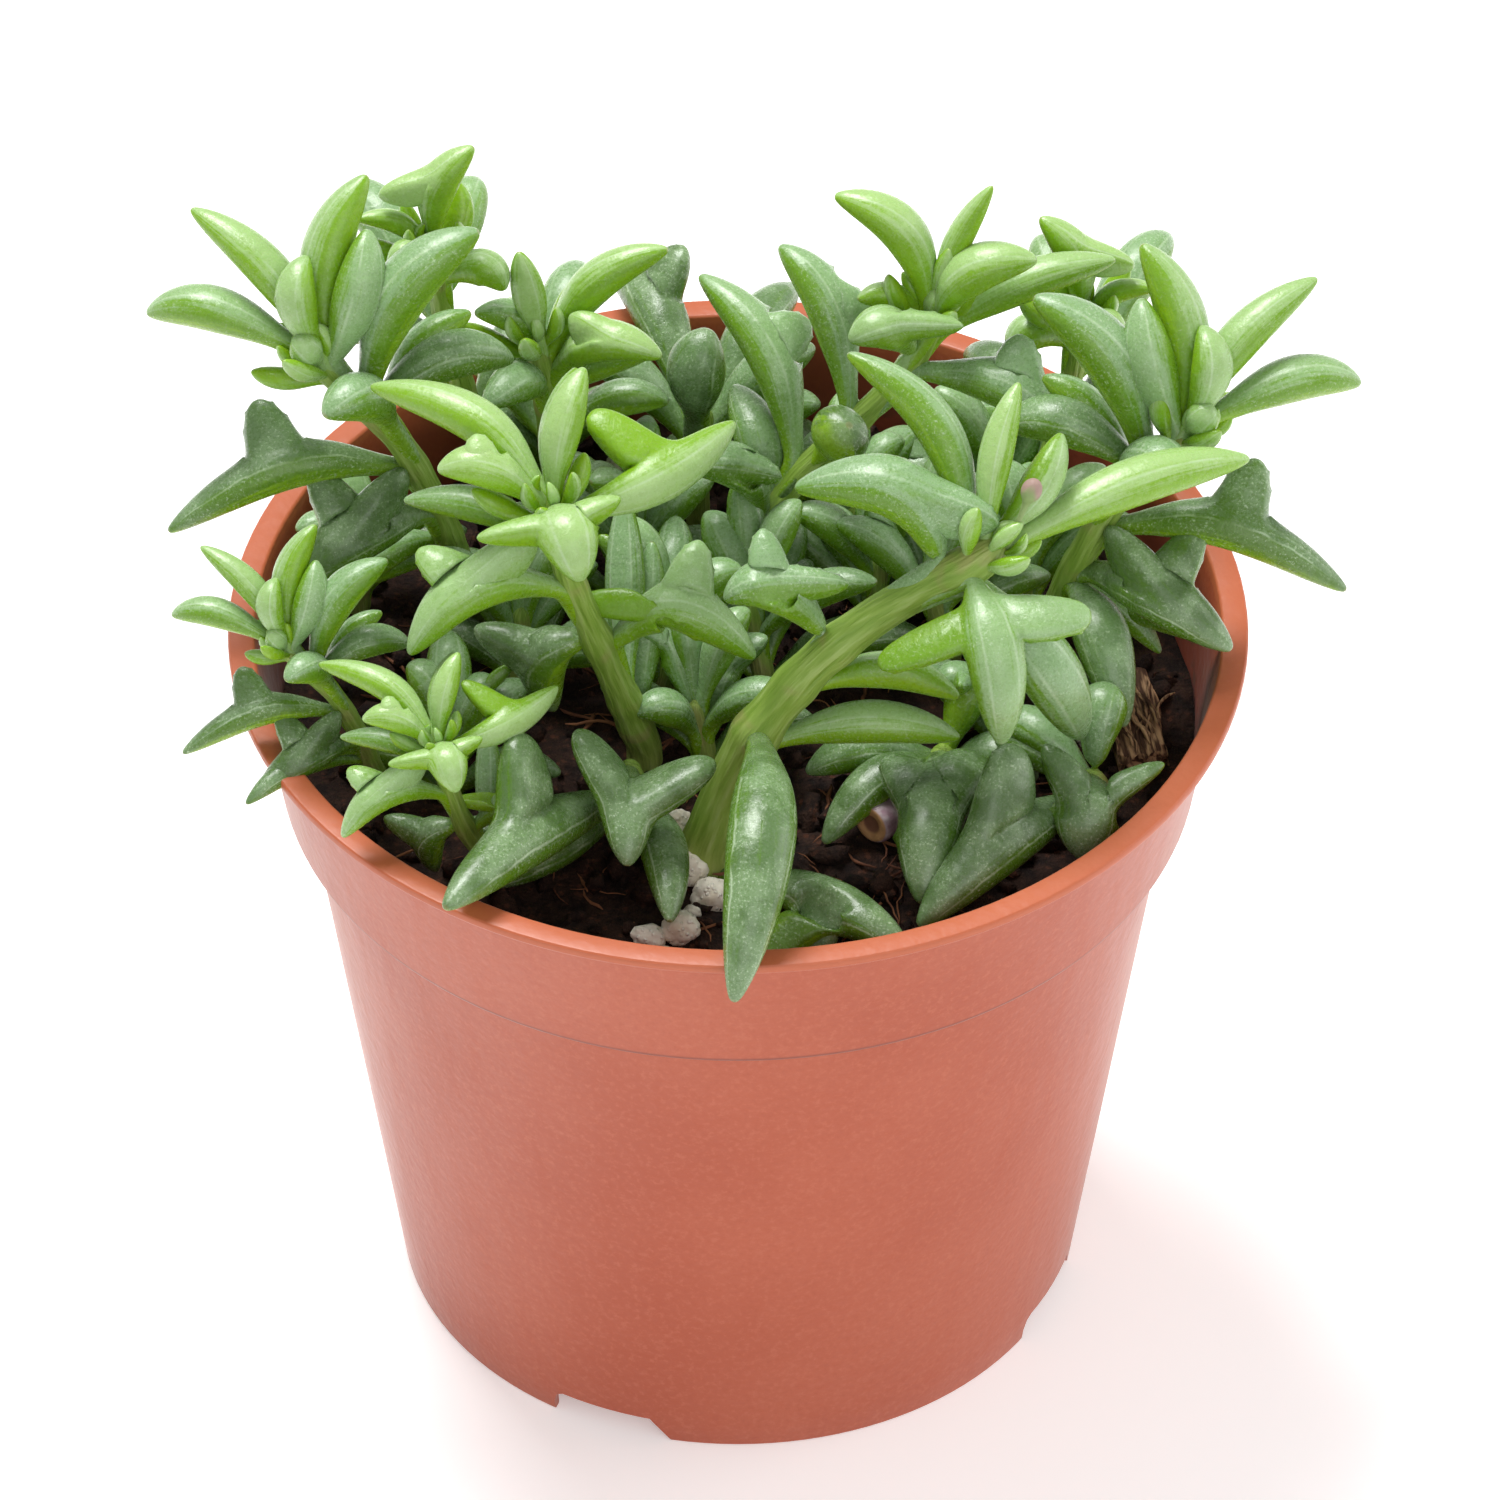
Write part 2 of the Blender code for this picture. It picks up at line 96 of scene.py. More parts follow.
class Value:
    """A shader socket that carries a number, and adds Math nodes as it is used in sums."""

    def __init__(self, finish, socket):
        self.finish = finish
        self.socket = socket

    def math(self, operation, *values):
        settings = {"operation": operation}
        return self.finish.value("ShaderNodeMath", settings, values)

    def __add__(self, other):
        return self.math("ADD", self, other)

    def __radd__(self, other):
        return self.math("ADD", other, self)

    def __sub__(self, other):
        return self.math("SUBTRACT", self, other)

    def __rsub__(self, other):
        return self.math("SUBTRACT", other, self)

    def __mul__(self, other):
        return self.math("MULTIPLY", self, other)

    def __rmul__(self, other):
        return self.math("MULTIPLY", other, self)

    def __abs__(self):
        return self.math("ABSOLUTE", self)


class Finish:
    """A material built of nodes. Constants go on the shader's own sockets."""

    def __init__(self, name, **constants):
        self.material = bpy.data.materials.new(name)
        self.material.use_nodes = True
        self.tree = self.material.node_tree
        self.shader = self.tree.nodes["Principled BSDF"]
        for socket, value in constants.items():
            self.shader.inputs[socket.replace("_", " ")].default_value = value
        self.place = self.node("ShaderNodeTexCoord").outputs["Object"]

    def feed(self, socket, value):
        if isinstance(value, Value):
            value = value.socket
        if isinstance(value, bpy.types.NodeSocket):
            self.tree.links.new(value, socket)
        else:
            socket.default_value = value

    def node(self, kind, settings=None, values=()):
        """A node with its settings made first, then the values or links of its sockets."""
        made = self.tree.nodes.new(kind)
        for name, value in (settings or {}).items():
            setattr(made, name, value)
        pairs = values.items() if isinstance(values, dict) else enumerate(values)
        for socket, value in pairs:
            self.feed(made.inputs[socket], value)
        return made

    def value(self, kind, settings=None, values=(), output=0):
        return Value(self, self.node(kind, settings, values).outputs[output])

    def parts(self, vector):
        """The three numbers of a vector."""
        split = self.node("ShaderNodeSeparateXYZ", None, [vector])
        return [Value(self, socket) for socket in split.outputs]

    def vector(self, x, y, z):
        return self.node("ShaderNodeCombineXYZ", None, [x, y, z]).outputs[0]

    def attribute(self, name):
        return self.node("ShaderNodeAttribute", {"attribute_name": name}).outputs["Vector"]

    def cloud(self, scale, detail=3.0, where=None, roughness=0.5):
        """Soft noise around one half."""
        values = {"Vector": where or self.place, "Scale": scale, "Detail": detail}
        values["Roughness"] = roughness
        return self.value("ShaderNodeTexNoise", None, values, "Fac")

    def cells(self, scale, where=None):
        """Distance to the nearest of many scattered points."""
        values = {"Vector": where or self.place, "Scale": scale}
        return self.value("ShaderNodeTexVoronoi", None, values, "Distance")

    def rise(self, value, low, high):
        """0 below low, 1 above high, and a smooth rise between them."""
        settings = {"interpolation_type": "SMOOTHSTEP", "clamp": True}
        return self.value("ShaderNodeMapRange", settings, [value, low, high, 0.0, 1.0])

    def mix(self, share, first, second):
        """The second colour over the first, by a share from 0 to 1."""
        settings = {"data_type": "RGBA", "blend_type": "MIX", "clamp_factor": True}
        made = self.node("ShaderNodeMix", settings, {0: share})
        for socket, colour in zip((made.inputs[6], made.inputs[7]), (first, second)):
            self.feed(socket, (*colour, 1) if isinstance(colour, tuple) else colour)
        return made.outputs[2]

    def paint(self, colour, roughness=None, height=None, depth=0.0):
        """Feeds the shader. Height makes a bump of the given depth in metres."""
        self.feed(self.shader.inputs["Base Color"], colour)
        if roughness is not None:
            self.feed(self.shader.inputs["Roughness"], roughness)
        if height is not None:
            values = {"Height": height, "Strength": 1.0, "Distance": depth}
            bump = self.node("ShaderNodeBump", None, values)
            self.feed(self.shader.inputs["Normal"], bump.outputs[0])
        return self.material


def new_object(name, data):
    made = bpy.data.objects.new(name, data)
    bpy.context.scene.collection.objects.link(made)
    return made


def mesh_object(name, bm):
    """Uses up a bmesh to make an object of its name."""
    data = bpy.data.meshes.new(name)
    bm.to_mesh(data)
    bm.free()
    return new_object(name, data)


def add_piece(name, bm, finish, nodes=(), rounds=0):
    """A smooth piece that rides on the root body, in place of the CAD nodes it stands for."""
    made = mesh_object(name, bm)
    made.data.shade_smooth()
    made.data.materials.append(finish)
    if rounds:
        smooth = made.modifiers.new("smooth", "SUBSURF")
        smooth.levels = rounds
        smooth.render_levels = rounds
    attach(made, "root")
    if nodes:
        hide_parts(*nodes)
    return made


def collar_radius(depth):
    """Outer radius of the collar at a depth below the rim."""
    return RIM_RADIUS - LIP_WIDTH - COLLAR_DRAFT * depth


def body_radius(height):
    """Outer radius of the body below the collar, at a height above the table."""
    top = collar_radius(COLLAR_DEPTH) - COLLAR_STEP
    return BASE_RADIUS + (top - BASE_RADIUS) * height / (POT_HEIGHT - COLLAR_DEPTH)


def wall_inside(height):
    """Inner radius of the pot at a height above the table."""
    depth = POT_HEIGHT - height
    if depth < COLLAR_DEPTH - COLLAR_STEP:
        return collar_radius(depth) - WALL
    return body_radius(min(height, POT_HEIGHT - COLLAR_DEPTH)) - WALL


def spun(outline, steps):
    """A surface of revolution. Outline points are (radius, height, rounding)."""
    bm = bmesh.new()
    corners = [bm.verts.new((radius, 0, height)) for radius, height, _ in outline]
    for pair in zip(corners, corners[1:]):
        bm.edges.new(pair)
    soft = sorted({rounding for _, _, rounding in outline if rounding})
    for width in soft:
        chosen = [v for v, row in zip(corners, outline) if row[2] == width]
        bmesh.ops.bevel(
            bm,
            geom=chosen,
            offset=width,
            offset_type="OFFSET",
            segments=3,
            profile=0.5,
            affect="VERTICES",
            material=-1,
        )
    bmesh.ops.spin(
        bm,
        geom=[*bm.verts, *bm.edges],
        cent=(0, 0, 0),
        axis=(0, 0, 1),
        angle=math.tau,
        steps=steps,
        use_merge=True,
    )
    bmesh.ops.remove_doubles(bm, verts=bm.verts, dist=0.01 * MM)
    bmesh.ops.recalc_face_normals(bm, faces=bm.faces)
    return bm


def pot_outline():
    seam = POT_HEIGHT - COLLAR_DEPTH
    floor_top = FLOOR_HEIGHT + WALL
    foot = FLOOR_HEIGHT
    return [
        (0, floor_top, 0),
        (body_radius(floor_top) - WALL, floor_top, 1.2 * MM),
        (body_radius(seam) - WALL, seam, 1.2 * MM),
        (collar_radius(COLLAR_DEPTH - COLLAR_STEP) - WALL, seam + COLLAR_STEP, 1.2 * MM),
        (collar_radius(6 * MM) - WALL, POT_HEIGHT - 6 * MM, 0),
        (collar_radius(0) - WALL * 0.5, POT_HEIGHT, 0.35 * MM),
        (RIM_RADIUS, POT_HEIGHT, 0.45 * MM),
        (RIM_RADIUS, POT_HEIGHT - LIP_THICKNESS, 0.35 * MM),
        (collar_radius(LIP_THICKNESS), POT_HEIGHT - LIP_THICKNESS * 1.5, 0.35 * MM),
        (collar_radius(COLLAR_DEPTH), POT_HEIGHT - COLLAR_DEPTH * COLLAR_EDGE, 0.5 * MM),
        (body_radius(seam), seam - COLLAR_STEP / 3, 0.5 * MM),
        (body_radius(2 * foot), 2 * foot, 0),
        (body_radius(foot), foot, 0),
        (body_radius(0), 0, 0.35 * MM),
        (body_radius(0) - WALL, 0, 0.35 * MM),
        (body_radius(foot) - WALL, foot, 0.4 * MM),
        (RIB_RADIUS + RIB_WIDTH, foot, 0),
        (RIB_RADIUS + RIB_WIDTH * 0.8, foot - GATE_DEPTH, 0),
        (RIB_RADIUS + RIB_WIDTH * 0.2, foot - GATE_DEPTH, 0),
        (RIB_RADIUS, foot, 0),
        (GATE_RADIUS, foot, 0),
        (GATE_RADIUS * 0.9, foot - GATE_DEPTH, 0),
        (0, foot - GATE_DEPTH, 0),
    ]


def foot_gap_cutters():
    """Blocks with one upright, rounded end and one slanting end, set round the foot."""
    bm = bmesh.new()
    half = FOOT_GAP_WIDTH / 2
    shape = [
        (-half, -FOOT_GAP_HEIGHT),
        (half + FOOT_GAP_SLANT, -FOOT_GAP_HEIGHT),
        (half - FOOT_GAP_SLANT, FOOT_GAP_HEIGHT),
        (-half + FOOT_GAP_SLANT / 2, FOOT_GAP_HEIGHT),
        (-half + FOOT_GAP_SLANT / 6, FOOT_GAP_HEIGHT * 0.85),
        (-half, FOOT_GAP_HEIGHT * 0.5),
    ]
    for index in range(FOOT_GAPS):
        turn = Matrix.Rotation(FOOT_GAP_TURN + index * math.tau / FOOT_GAPS, 4, "Z")
        outer = -BASE_RADIUS * 1.2
        face = bm.faces.new([bm.verts.new(turn @ Vector((x, outer, z))) for x, z in shape])
        grown = bmesh.ops.extrude_face_region(bm, geom=[face])["geom"]
        moved = [item for item in grown if isinstance(item, bmesh.types.BMVert)]
        bmesh.ops.translate(bm, verts=moved, vec=turn @ Vector((0, BASE_RADIUS * 0.45, 0)))
    return bm


def drain_cutters():
    bm = bmesh.new()
    for index in range(DRAINS):
        turn = Matrix.Rotation(index * math.tau / DRAINS, 4, "Z")
        place = Matrix.Translation((DRAIN_CIRCLE, 0, FLOOR_HEIGHT + WALL / 2))
        bmesh.ops.create_cone(
            bm,
            cap_ends=True,
            segments=DRAIN_SIDES,
            radius1=DRAIN_RADIUS,
            radius2=DRAIN_RADIUS,
            depth=4 * WALL,
            matrix=turn @ place,
        )
    return bm


def cut_away(bm, cutters):
    """The mesh with each cutter's shape taken out of it."""
    uncut = mesh_object("uncut", bm)
    helpers = [uncut]
    for index, cutter in enumerate(cutters):
        bmesh.ops.recalc_face_normals(cutter, faces=cutter.faces)
        helper = mesh_object(f"cutter_{index}", cutter)
        helpers.append(helper)
        step = uncut.modifiers.new(f"cut_{index}", "BOOLEAN")
        step.operation = "DIFFERENCE"
        step.solver = "EXACT"
        step.object = helper
    view = bpy.context.evaluated_depsgraph_get()
    cut = bmesh.new()
    cut.from_mesh(uncut.evaluated_get(view).to_mesh())
    for helper in helpers:
        bpy.data.objects.remove(helper)
    return cut


def terracotta_plastic():
    finish = Finish(
        "terracotta_plastic",
        Specular_IOR_Level=0.45,
        Sheen_Weight=0.3,
        Sheen_Roughness=0.22,
    )
    x, y, height = finish.parts(finish.place)
    patches = finish.cloud(22.0, 4.0)
    colour = finish.mix(finish.rise(patches, 0.35, 0.65), TERRACOTTA_DARK, TERRACOTTA_PALE)
    colour = finish.mix(0.62, colour, TERRACOTTA)
    grain = finish.cloud(1300.0, 3.0, None, 0.7)
    colour = finish.mix(finish.rise(grain, 0.48, 0.7) * 0.5, colour, TERRACOTTA_PALE)
    colour = finish.mix(finish.rise(grain, 0.46, 0.3) * 0.45, colour, TERRACOTTA_DARK)
    # Painted highlight: the top millimetre of the lip is made a brighter orange, as if lit from
    # above.
    lip = finish.rise(height, POT_HEIGHT - 1.5 * MM, POT_HEIGHT - 0.6 * MM)
    colour = finish.mix(lip * 0.8, colour, LIP_HIGHLIGHT_ORANGE)
    reach = finish.value(
        "ShaderNodeVectorMath",
        {"operation": "LENGTH"},
        [finish.vector(x, y, 0.0)],
        "Value",
    )
    wall_middle = collar_radius(POT_HEIGHT) - WALL / 2
    collar_foot = POT_HEIGHT - COLLAR_DEPTH
    collar = finish.rise(height, collar_foot, collar_foot + COLLAR_STEP)
    inside = finish.rise(reach - height * COLLAR_DRAFT, wall_middle + 0.2 * MM, wall_middle)
    inside = inside * collar
    splash = finish.rise(finish.cloud(260.0, 5.0), 0.52, 0.66)
    near_soil = finish.rise(height, POT_HEIGHT - 7 * MM, POT_HEIGHT - 15 * MM)
    # Painted shade: the inside wall darkens from just under the rim downwards, where the pot
    # shades itself.
    down = finish.rise(height, POT_HEIGHT - 1 * MM, POT_HEIGHT - 6 * MM)
    colour = finish.mix(inside * down * 0.8, colour, INSIDE_PAINTED_SHADE)
    colour = finish.mix(inside * splash * near_soil, colour, SOIL_STAIN)
    # Painted shadow: a thin dark line along the collar's lower edge, where its step casts shade on
    # the body.
    edge = POT_HEIGHT - COLLAR_DEPTH * COLLAR_EDGE
    seam = finish.rise(abs(height - edge), 0.75 * MM, 0.3 * MM)
    colour = finish.mix(seam * (1 - inside) * 0.8, colour, STEP_SHADOW)
    scuffs = finish.cloud(90.0, 4.0, finish.vector(x * 4, y * 4, height * 0.3))
    roughness = 0.42 + finish.rise(scuffs, 0.4, 0.75) * 0.05
    skin = finish.cloud(620.0, 2.0)
    return finish.paint(colour, roughness, skin, 0.08 * MM)


pot_mesh = cut_away(spun(pot_outline(), POT_STEPS), [foot_gap_cutters(), drain_cutters()])
for edge in pot_mesh.edges:
    edge.smooth = edge.calc_face_angle(0) < CREASE
add_piece("pot_body", pot_mesh, terracotta_plastic(), ["pot"])


# Soil ------------------------------------------------------------------------------------------
# Dark peat potting mix that fills the pot to 13 mm below its rim. Its top is lumpy, with loose
# crumbs and reddish coir fibres on it, and it meets the wall all round.

SOIL_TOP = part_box("soil")[1].z
SOIL_BELOW = (POT_HEIGHT - SOIL_TOP) / MM  # the soil's depth below the rim in mm
SOIL_STEPS = 96
SOIL_RING = 2.2 * MM
SOIL_SETTLED = 0.4 * MM
SOIL_SLACK = 0.25 * MM  # between the soil and the pot's wall
SOIL_LUMP = 1.5 * MM
SOIL_LUMP_ACROSS = 9 * MM
SOIL_BIT = 0.55 * MM
SOIL_BIT_ACROSS = 2.4 * MM
CRUMBS = 520
CRUMB_SIZES = (0.5, 0.7, 0.8, 1.0, 1.3, 1.7)  # mm
FIBRES = 300
FIBRE_RADII = (0.1, 0.13, 0.17, 0.24)  # mm
FIBRE_SIDES = 4
FIBRE_STEPS = 6
SOIL_MARGIN = 2 * MM  # crumbs and fibres keep off the wall
PEAT_DARK = (0.009, 0.004, 0.003)
PEAT = (0.036, 0.016, 0.01)
PEAT_RED = (0.11, 0.038, 0.02)
COIR = (0.24, 0.1, 0.045)


def soil_height(x, y):
    """Height of the lumpy surface, which never stands above the CAD's level by much."""
    wide = noise.fractal(Vector((x, y, 0)) / SOIL_LUMP_ACROSS, 1.0, 2.0, 3)
    fine = noise.fractal(Vector((x, y, 0.02)) / SOIL_BIT_ACROSS, 0.9, 2.0, 3)
    return SOIL_TOP - SOIL_SETTLED + SOIL_LUMP * wide + SOIL_BIT * fine


def soil_bed():
    seam = POT_HEIGHT - COLLAR_DEPTH
    bottom = FLOOR_HEIGHT + WALL + 0.3 * MM
    edge = wall_inside(SOIL_TOP) - SOIL_SLACK
    rings = int(edge / SOIL_RING)
    outline = [(edge * index / rings, SOIL_TOP, 0) for index in range(rings + 1)]
    step_radius = collar_radius(COLLAR_DEPTH - COLLAR_STEP) - WALL - SOIL_SLACK
    outline.append((step_radius, seam + COLLAR_STEP, 0))
    outline.append((body_radius(seam) - WALL - SOIL_SLACK, seam, 0))
    outline.append((body_radius(bottom) - WALL - SOIL_SLACK, bottom, 0))
    outline.append((0, bottom, 0))
    bm = spun(outline, SOIL_STEPS)
    for vertex in bm.verts:
        if vertex.co.z > SOIL_TOP - 0.01 * MM:
            vertex.co.z = soil_height(vertex.co.x, vertex.co.y)
    return bm


def soil_spot(dice, reach=1.0):
    """A place on the soil, evenly spread."""
    away = (wall_inside(SOIL_TOP) - SOIL_MARGIN) * math.sqrt(dice.random()) * reach
    turn = dice.uniform(0, math.tau)
    x, y = away * math.cos(turn), away * math.sin(turn)
    return Vector((x, y, soil_height(x, y)))


def any_turn(dice):
    axis = Vector((dice.uniform(-1, 1), dice.uniform(-1, 1), dice.uniform(-1, 1.01)))
    return Matrix.Rotation(dice.uniform(0, math.tau), 4, axis.normalized())


def soil_crumbs(dice):
    bm = bmesh.new()
    for _ in range(CRUMBS):
        size = dice.choice(CRUMB_SIZES) * MM
        spot = soil_spot(dice) + Vector((0, 0, size * 0.35))
        spread = Matrix.Diagonal((dice.uniform(0.7, 1.6), dice.uniform(0.6, 1.1), 0.8, 1))
        place = Matrix.Translation(spot) @ any_turn(dice) @ spread @ Matrix.Scale(size, 4)
        crumb = bmesh.ops.create_icosphere(bm, subdivisions=2, radius=1)["verts"]
        seed = Vector((dice.uniform(0, 50), 0, 0))
        for vertex in crumb:
            vertex.co *= 1 + 0.8 * noise.noise(vertex.co * 1.9 + seed)
        bmesh.ops.transform(bm, matrix=place, verts=crumb)
    return bm


def ring_matrix(centre, side, up, way, width, thickness):
    turn = Matrix((side * width, up * thickness, way * MM)).transposed().to_4x4()
    return Matrix.Translation(centre) @ turn


def extruded(bm, rings, sides, mark=None):
    """A closed form drawn through rings, each a matrix that places the unit circle."""
    made = bmesh.ops.create_circle(bm, cap_ends=True, radius=1, segments=sides)
    cap = made["verts"][0].link_faces[0]
    before = Matrix.Identity(4)
    bands = []
    for index, ring in enumerate(rings):
        if index == 1:
            grown = bmesh.ops.extrude_face_region(bm, geom=[cap])["geom"]
            cap = next(item for item in grown if isinstance(item, bmesh.types.BMFace))
        elif index > 1:
            cap = bmesh.ops.extrude_discrete_faces(bm, faces=[cap])["faces"][0]
        if index:
            bands.append([next(f for f in edge.link_faces if f != cap) for edge in cap.edges])
        bmesh.ops.transform(bm, matrix=ring @ before.inverted(), verts=cap.verts)
        before = ring
        if mark:
            for vertex in cap.verts:
                mark(vertex, ring.inverted() @ vertex.co, index)
    faces = {cap, *made["verts"][0].link_faces, *(face for band in bands for face in band)}
    bmesh.ops.recalc_face_normals(bm, faces=list(faces))
    return bands


def fibre(bm, start, heading, length, radius, dice, lift=1.0):
    """A thin strand that lies on the soil and wanders as it goes."""
    place = start.copy()
    rings = []
    for index in range(FIBRE_STEPS + 1):
        way = Vector((math.cos(heading), math.sin(heading), dice.uniform(-0.12, 0.12) * lift))
        side = way.cross(Vector((0, 0, 1))).normalized()
        width = radius * (0.35 if index in (0, FIBRE_STEPS) else dice.uniform(0.8, 1.2))
        rings.append(ring_matrix(place, side, side.cross(way), way.normalized(), width, width))
        place = place + way * length / FIBRE_STEPS
        heading += dice.uniform(-0.45, 0.45)
    extruded(bm, rings, FIBRE_SIDES)


def soil_fibres(dice):
    bm = bmesh.new()
    for _ in range(FIBRES):
        start = soil_spot(dice, 0.79) + Vector((0, 0, dice.uniform(0.2, 1.0) * MM))
        length = dice.uniform(3, 10) * MM
        radius = dice.choice(FIBRE_RADII) * MM
        fibre(bm, start, dice.uniform(0, math.tau), length, radius, dice)
    return bm


def peat(name):
    finish = Finish(name, Specular_IOR_Level=0.25)
    lumps = finish.cloud(420.0, 6.0, None, 0.65)
    colour = finish.mix(finish.rise(lumps, 0.35, 0.62), PEAT_DARK, PEAT)
    flecks = finish.rise(finish.cells(900.0), 0.42, 0.2) * finish.rise(lumps, 0.45, 0.6)
    colour = finish.mix(flecks * 0.6, colour, PEAT_RED)
    roughness = 0.78 + finish.cloud(700.0) * 0.2
    return finish.paint(colour, roughness, lumps + finish.cloud(2200.0, 3.0) * 0.4, 0.9 * MM)


def coir():
    finish = Finish("coir_fibre", Specular_IOR_Level=0.3)
    tone = finish.cloud(160.0, 2.0)
    colour = finish.mix(finish.rise(tone, 0.38, 0.62), PEAT_RED, COIR)
    return finish.paint(colour, 0.7 + tone * 0.2, finish.cloud(3000.0), 0.05 * MM)


peat_finish = peat("peat")
add_piece("soil_bed", soil_bed(), peat_finish, ["soil"])
add_piece("soil_crumbs", soil_crumbs(random.Random(4)), peat_finish)
add_piece("soil_fibres", soil_fibres(random.Random(9)), coir())


# Perlite ---------------------------------------------------------------------------------------
# Grains of puffed volcanic glass from the mix, cream white and knobbly, lying by the front stems.

PERLITE = (  # x, y in mm, radius in mm
    (-6.0, -28.4, 2.6),
    (-3.0, -32.6, 2.6),
    (-7.6, -25.6, 1.7),
    (-7.2, -21.2, 1.9),
    (-10.4, -41.0, 1.9),
    (-6.8, -40.0, 2.1),
    (-8.4, -42.8, 1.1),
    (-5.4, -35.8, 1.0),
    (43.6, -2.0, 1.5),
    (40.8, -4.4, 0.9),
    (22.0, 30.0, 1.6),
    (-30.0, -6.0, 1.2),
    (-14.0, 44.0, 1.5),
)
PERLITE_WHITE = (0.88, 0.84, 0.75)
# A tan painted into the grains' pits as shade, and spread in patches as a soil stain.
PERLITE_STAIN_AND_PIT_SHADE = (0.6, 0.5, 0.36)


def perlite_grains():
    bm = bmesh.new()
    dice = random.Random(3)
    for x, y, radius in PERLITE:
        grain = bmesh.ops.create_icosphere(bm, subdivisions=4, radius=1)["verts"]
        seed = Vector((x, y, radius))
        for vertex in grain:
            near = noise.voronoi(vertex.co * 1.25 + seed)[0][0]
            pits = noise.noise(vertex.co * 5 + seed)
            vertex.co *= 1.28 - 0.36 * near + 0.06 * pits
        spot = Vector((x * MM, y * MM, soil_height(x * MM, y * MM) + 0.6 * radius * MM))
        spread = Matrix.Diagonal((1, dice.uniform(0.75, 1), dice.uniform(0.7, 0.9), 1))
        place = Matrix.Translation(spot) @ any_turn(dice) @ spread @ Matrix.Scale(radius * MM, 4)
        bmesh.ops.transform(bm, matrix=place, verts=grain)
    return bm


def perlite_finish():
    finish = Finish("perlite", Specular_IOR_Level=0.3)
    pores = finish.rise(finish.cells(1500.0), 0.1, 0.45)
    stain = finish.rise(finish.cloud(300.0, 4.0), 0.5, 0.68)
    # The pits between the knobs are painted darker as shade; the cloudy patches are a real soil
    # stain.
    colour = finish.mix(pores * 0.3 + stain * 0.4, PERLITE_WHITE, PERLITE_STAIN_AND_PIT_SHADE)
    return finish.paint(colour, 0.8 + pores * 0.15, 1 - pores, 0.15 * MM)


perlite_nodes = ["perlite_1", "perlite_2"]
add_piece("perlite_grains", perlite_grains(), perlite_finish(), perlite_nodes)


# Bark chip -------------------------------------------------------------------------------------
# A splintered piece of bark from the mix, with pale torn fibres along it, by the right wall.

BARK_DARK = (0.07, 0.03, 0.015)
BARK_TAN = (0.52, 0.31, 0.17)
BARK_TURN = math.radians(100)
BARK_SIZE = (15 * MM, 6.4 * MM, 2.2 * MM)
SPLINTERS = 26


def bark_pieces():
    low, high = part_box("bark_chip")
    centre = (low + high) / 2
    dice = random.Random(12)
    bm = bmesh.new()
    bmesh.ops.create_cube(bm, size=1)
    bmesh.ops.subdivide_edges(bm, edges=bm.edges, cuts=7, use_grid_fill=True)
    for vertex in bm.verts:
        vertex.co.y += 0.12 * noise.noise(Vector((vertex.co.x * 2, vertex.co.y * 9, 3)))
        vertex.co.z += 0.22 * noise.noise(Vector((vertex.co.x * 2, vertex.co.y * 7, vertex.co.z)))
        vertex.co.x *= 1 + 0.25 * noise.noise(Vector((vertex.co.y * 9, vertex.co.z * 6, 1)))
    turn = Matrix.Rotation(BARK_TURN, 4, "Z")
    size = Matrix.Diagonal((*BARK_SIZE, 1))
    bmesh.ops.transform(bm, matrix=Matrix.Translation(centre) @ turn @ size, verts=bm.verts)
    for _ in range(SPLINTERS):
        across = dice.uniform(-3.2, 3.2) * MM
        start = turn @ Vector((dice.uniform(-7.5, -1) * MM, across, dice.uniform(0.8, 1.8) * MM))
        heading = BARK_TURN + dice.uniform(-0.2, 0.2)
        length = dice.uniform(4, 8) * MM
        fibre(bm, centre + start, heading, length, dice.uniform(0.14, 0.3) * MM, dice, 0.4)
    return bm


def bark():
    finish = Finish("bark", Specular_IOR_Level=0.3)
    turned = finish.node("ShaderNodeMapping", {"vector_type": "TEXTURE"}, {"Vector": finish.place})
    turned.inputs["Rotation"].default_value = (0, 0, BARK_TURN)
    turned.inputs["Scale"].default_value = (9, 1, 1)
    strands = finish.cloud(1500.0, 4.0, turned.outputs[0])
    colour = finish.mix(finish.rise(strands, 0.4, 0.6), BARK_DARK, BARK_TAN)
    return finish.paint(colour, 0.8, strands, 0.35 * MM)


add_piece("bark_splinters", bark_pieces(), bark(), ["bark_chip"])


# Cut stems -------------------------------------------------------------------------------------
# Old stems cut off short: mauve, papery and wrinkled outside, with a tan, ringed cut face.

MAUVE = (0.36, 0.22, 0.27)
MAUVE_PALE = (0.5, 0.4, 0.42)
CUT_TAN = (0.5, 0.27, 0.12)
CUT_PITH = (0.2, 0.09, 0.05)
STUB_RADIUS = 2.7 * MM
STUB_SIDES = 12
STUB_RINGS = (  # share of the length from its middle, radius over the stub's
    (-0.5, 0.8),
    (-0.2, 1.0),
    (0.1, 0.94),
    (0.36, 1.04),
    (0.46, 1.0),
    (0.5, 0.84),
    (0.49, 0.62),
    (0.44, 0.3),
)
STUB_FACE = 5  # the first ring of the cut face
STUB_PITH = 7
STUBS = (  # middle x, y in mm, height above the soil, way the cut faces, length in mm, size
    (18.0, -20.0, 2.2, (-0.62, -0.72, 0.12), 8.0, 1.0),
    (-25.0, -18.0, 1.2, (0.5, -0.8, 0.25), 6.0, 0.62),
    (30.5, -23.6, 1.0, (-0.3, -0.8, 0.5), 6.0, 0.6),
)


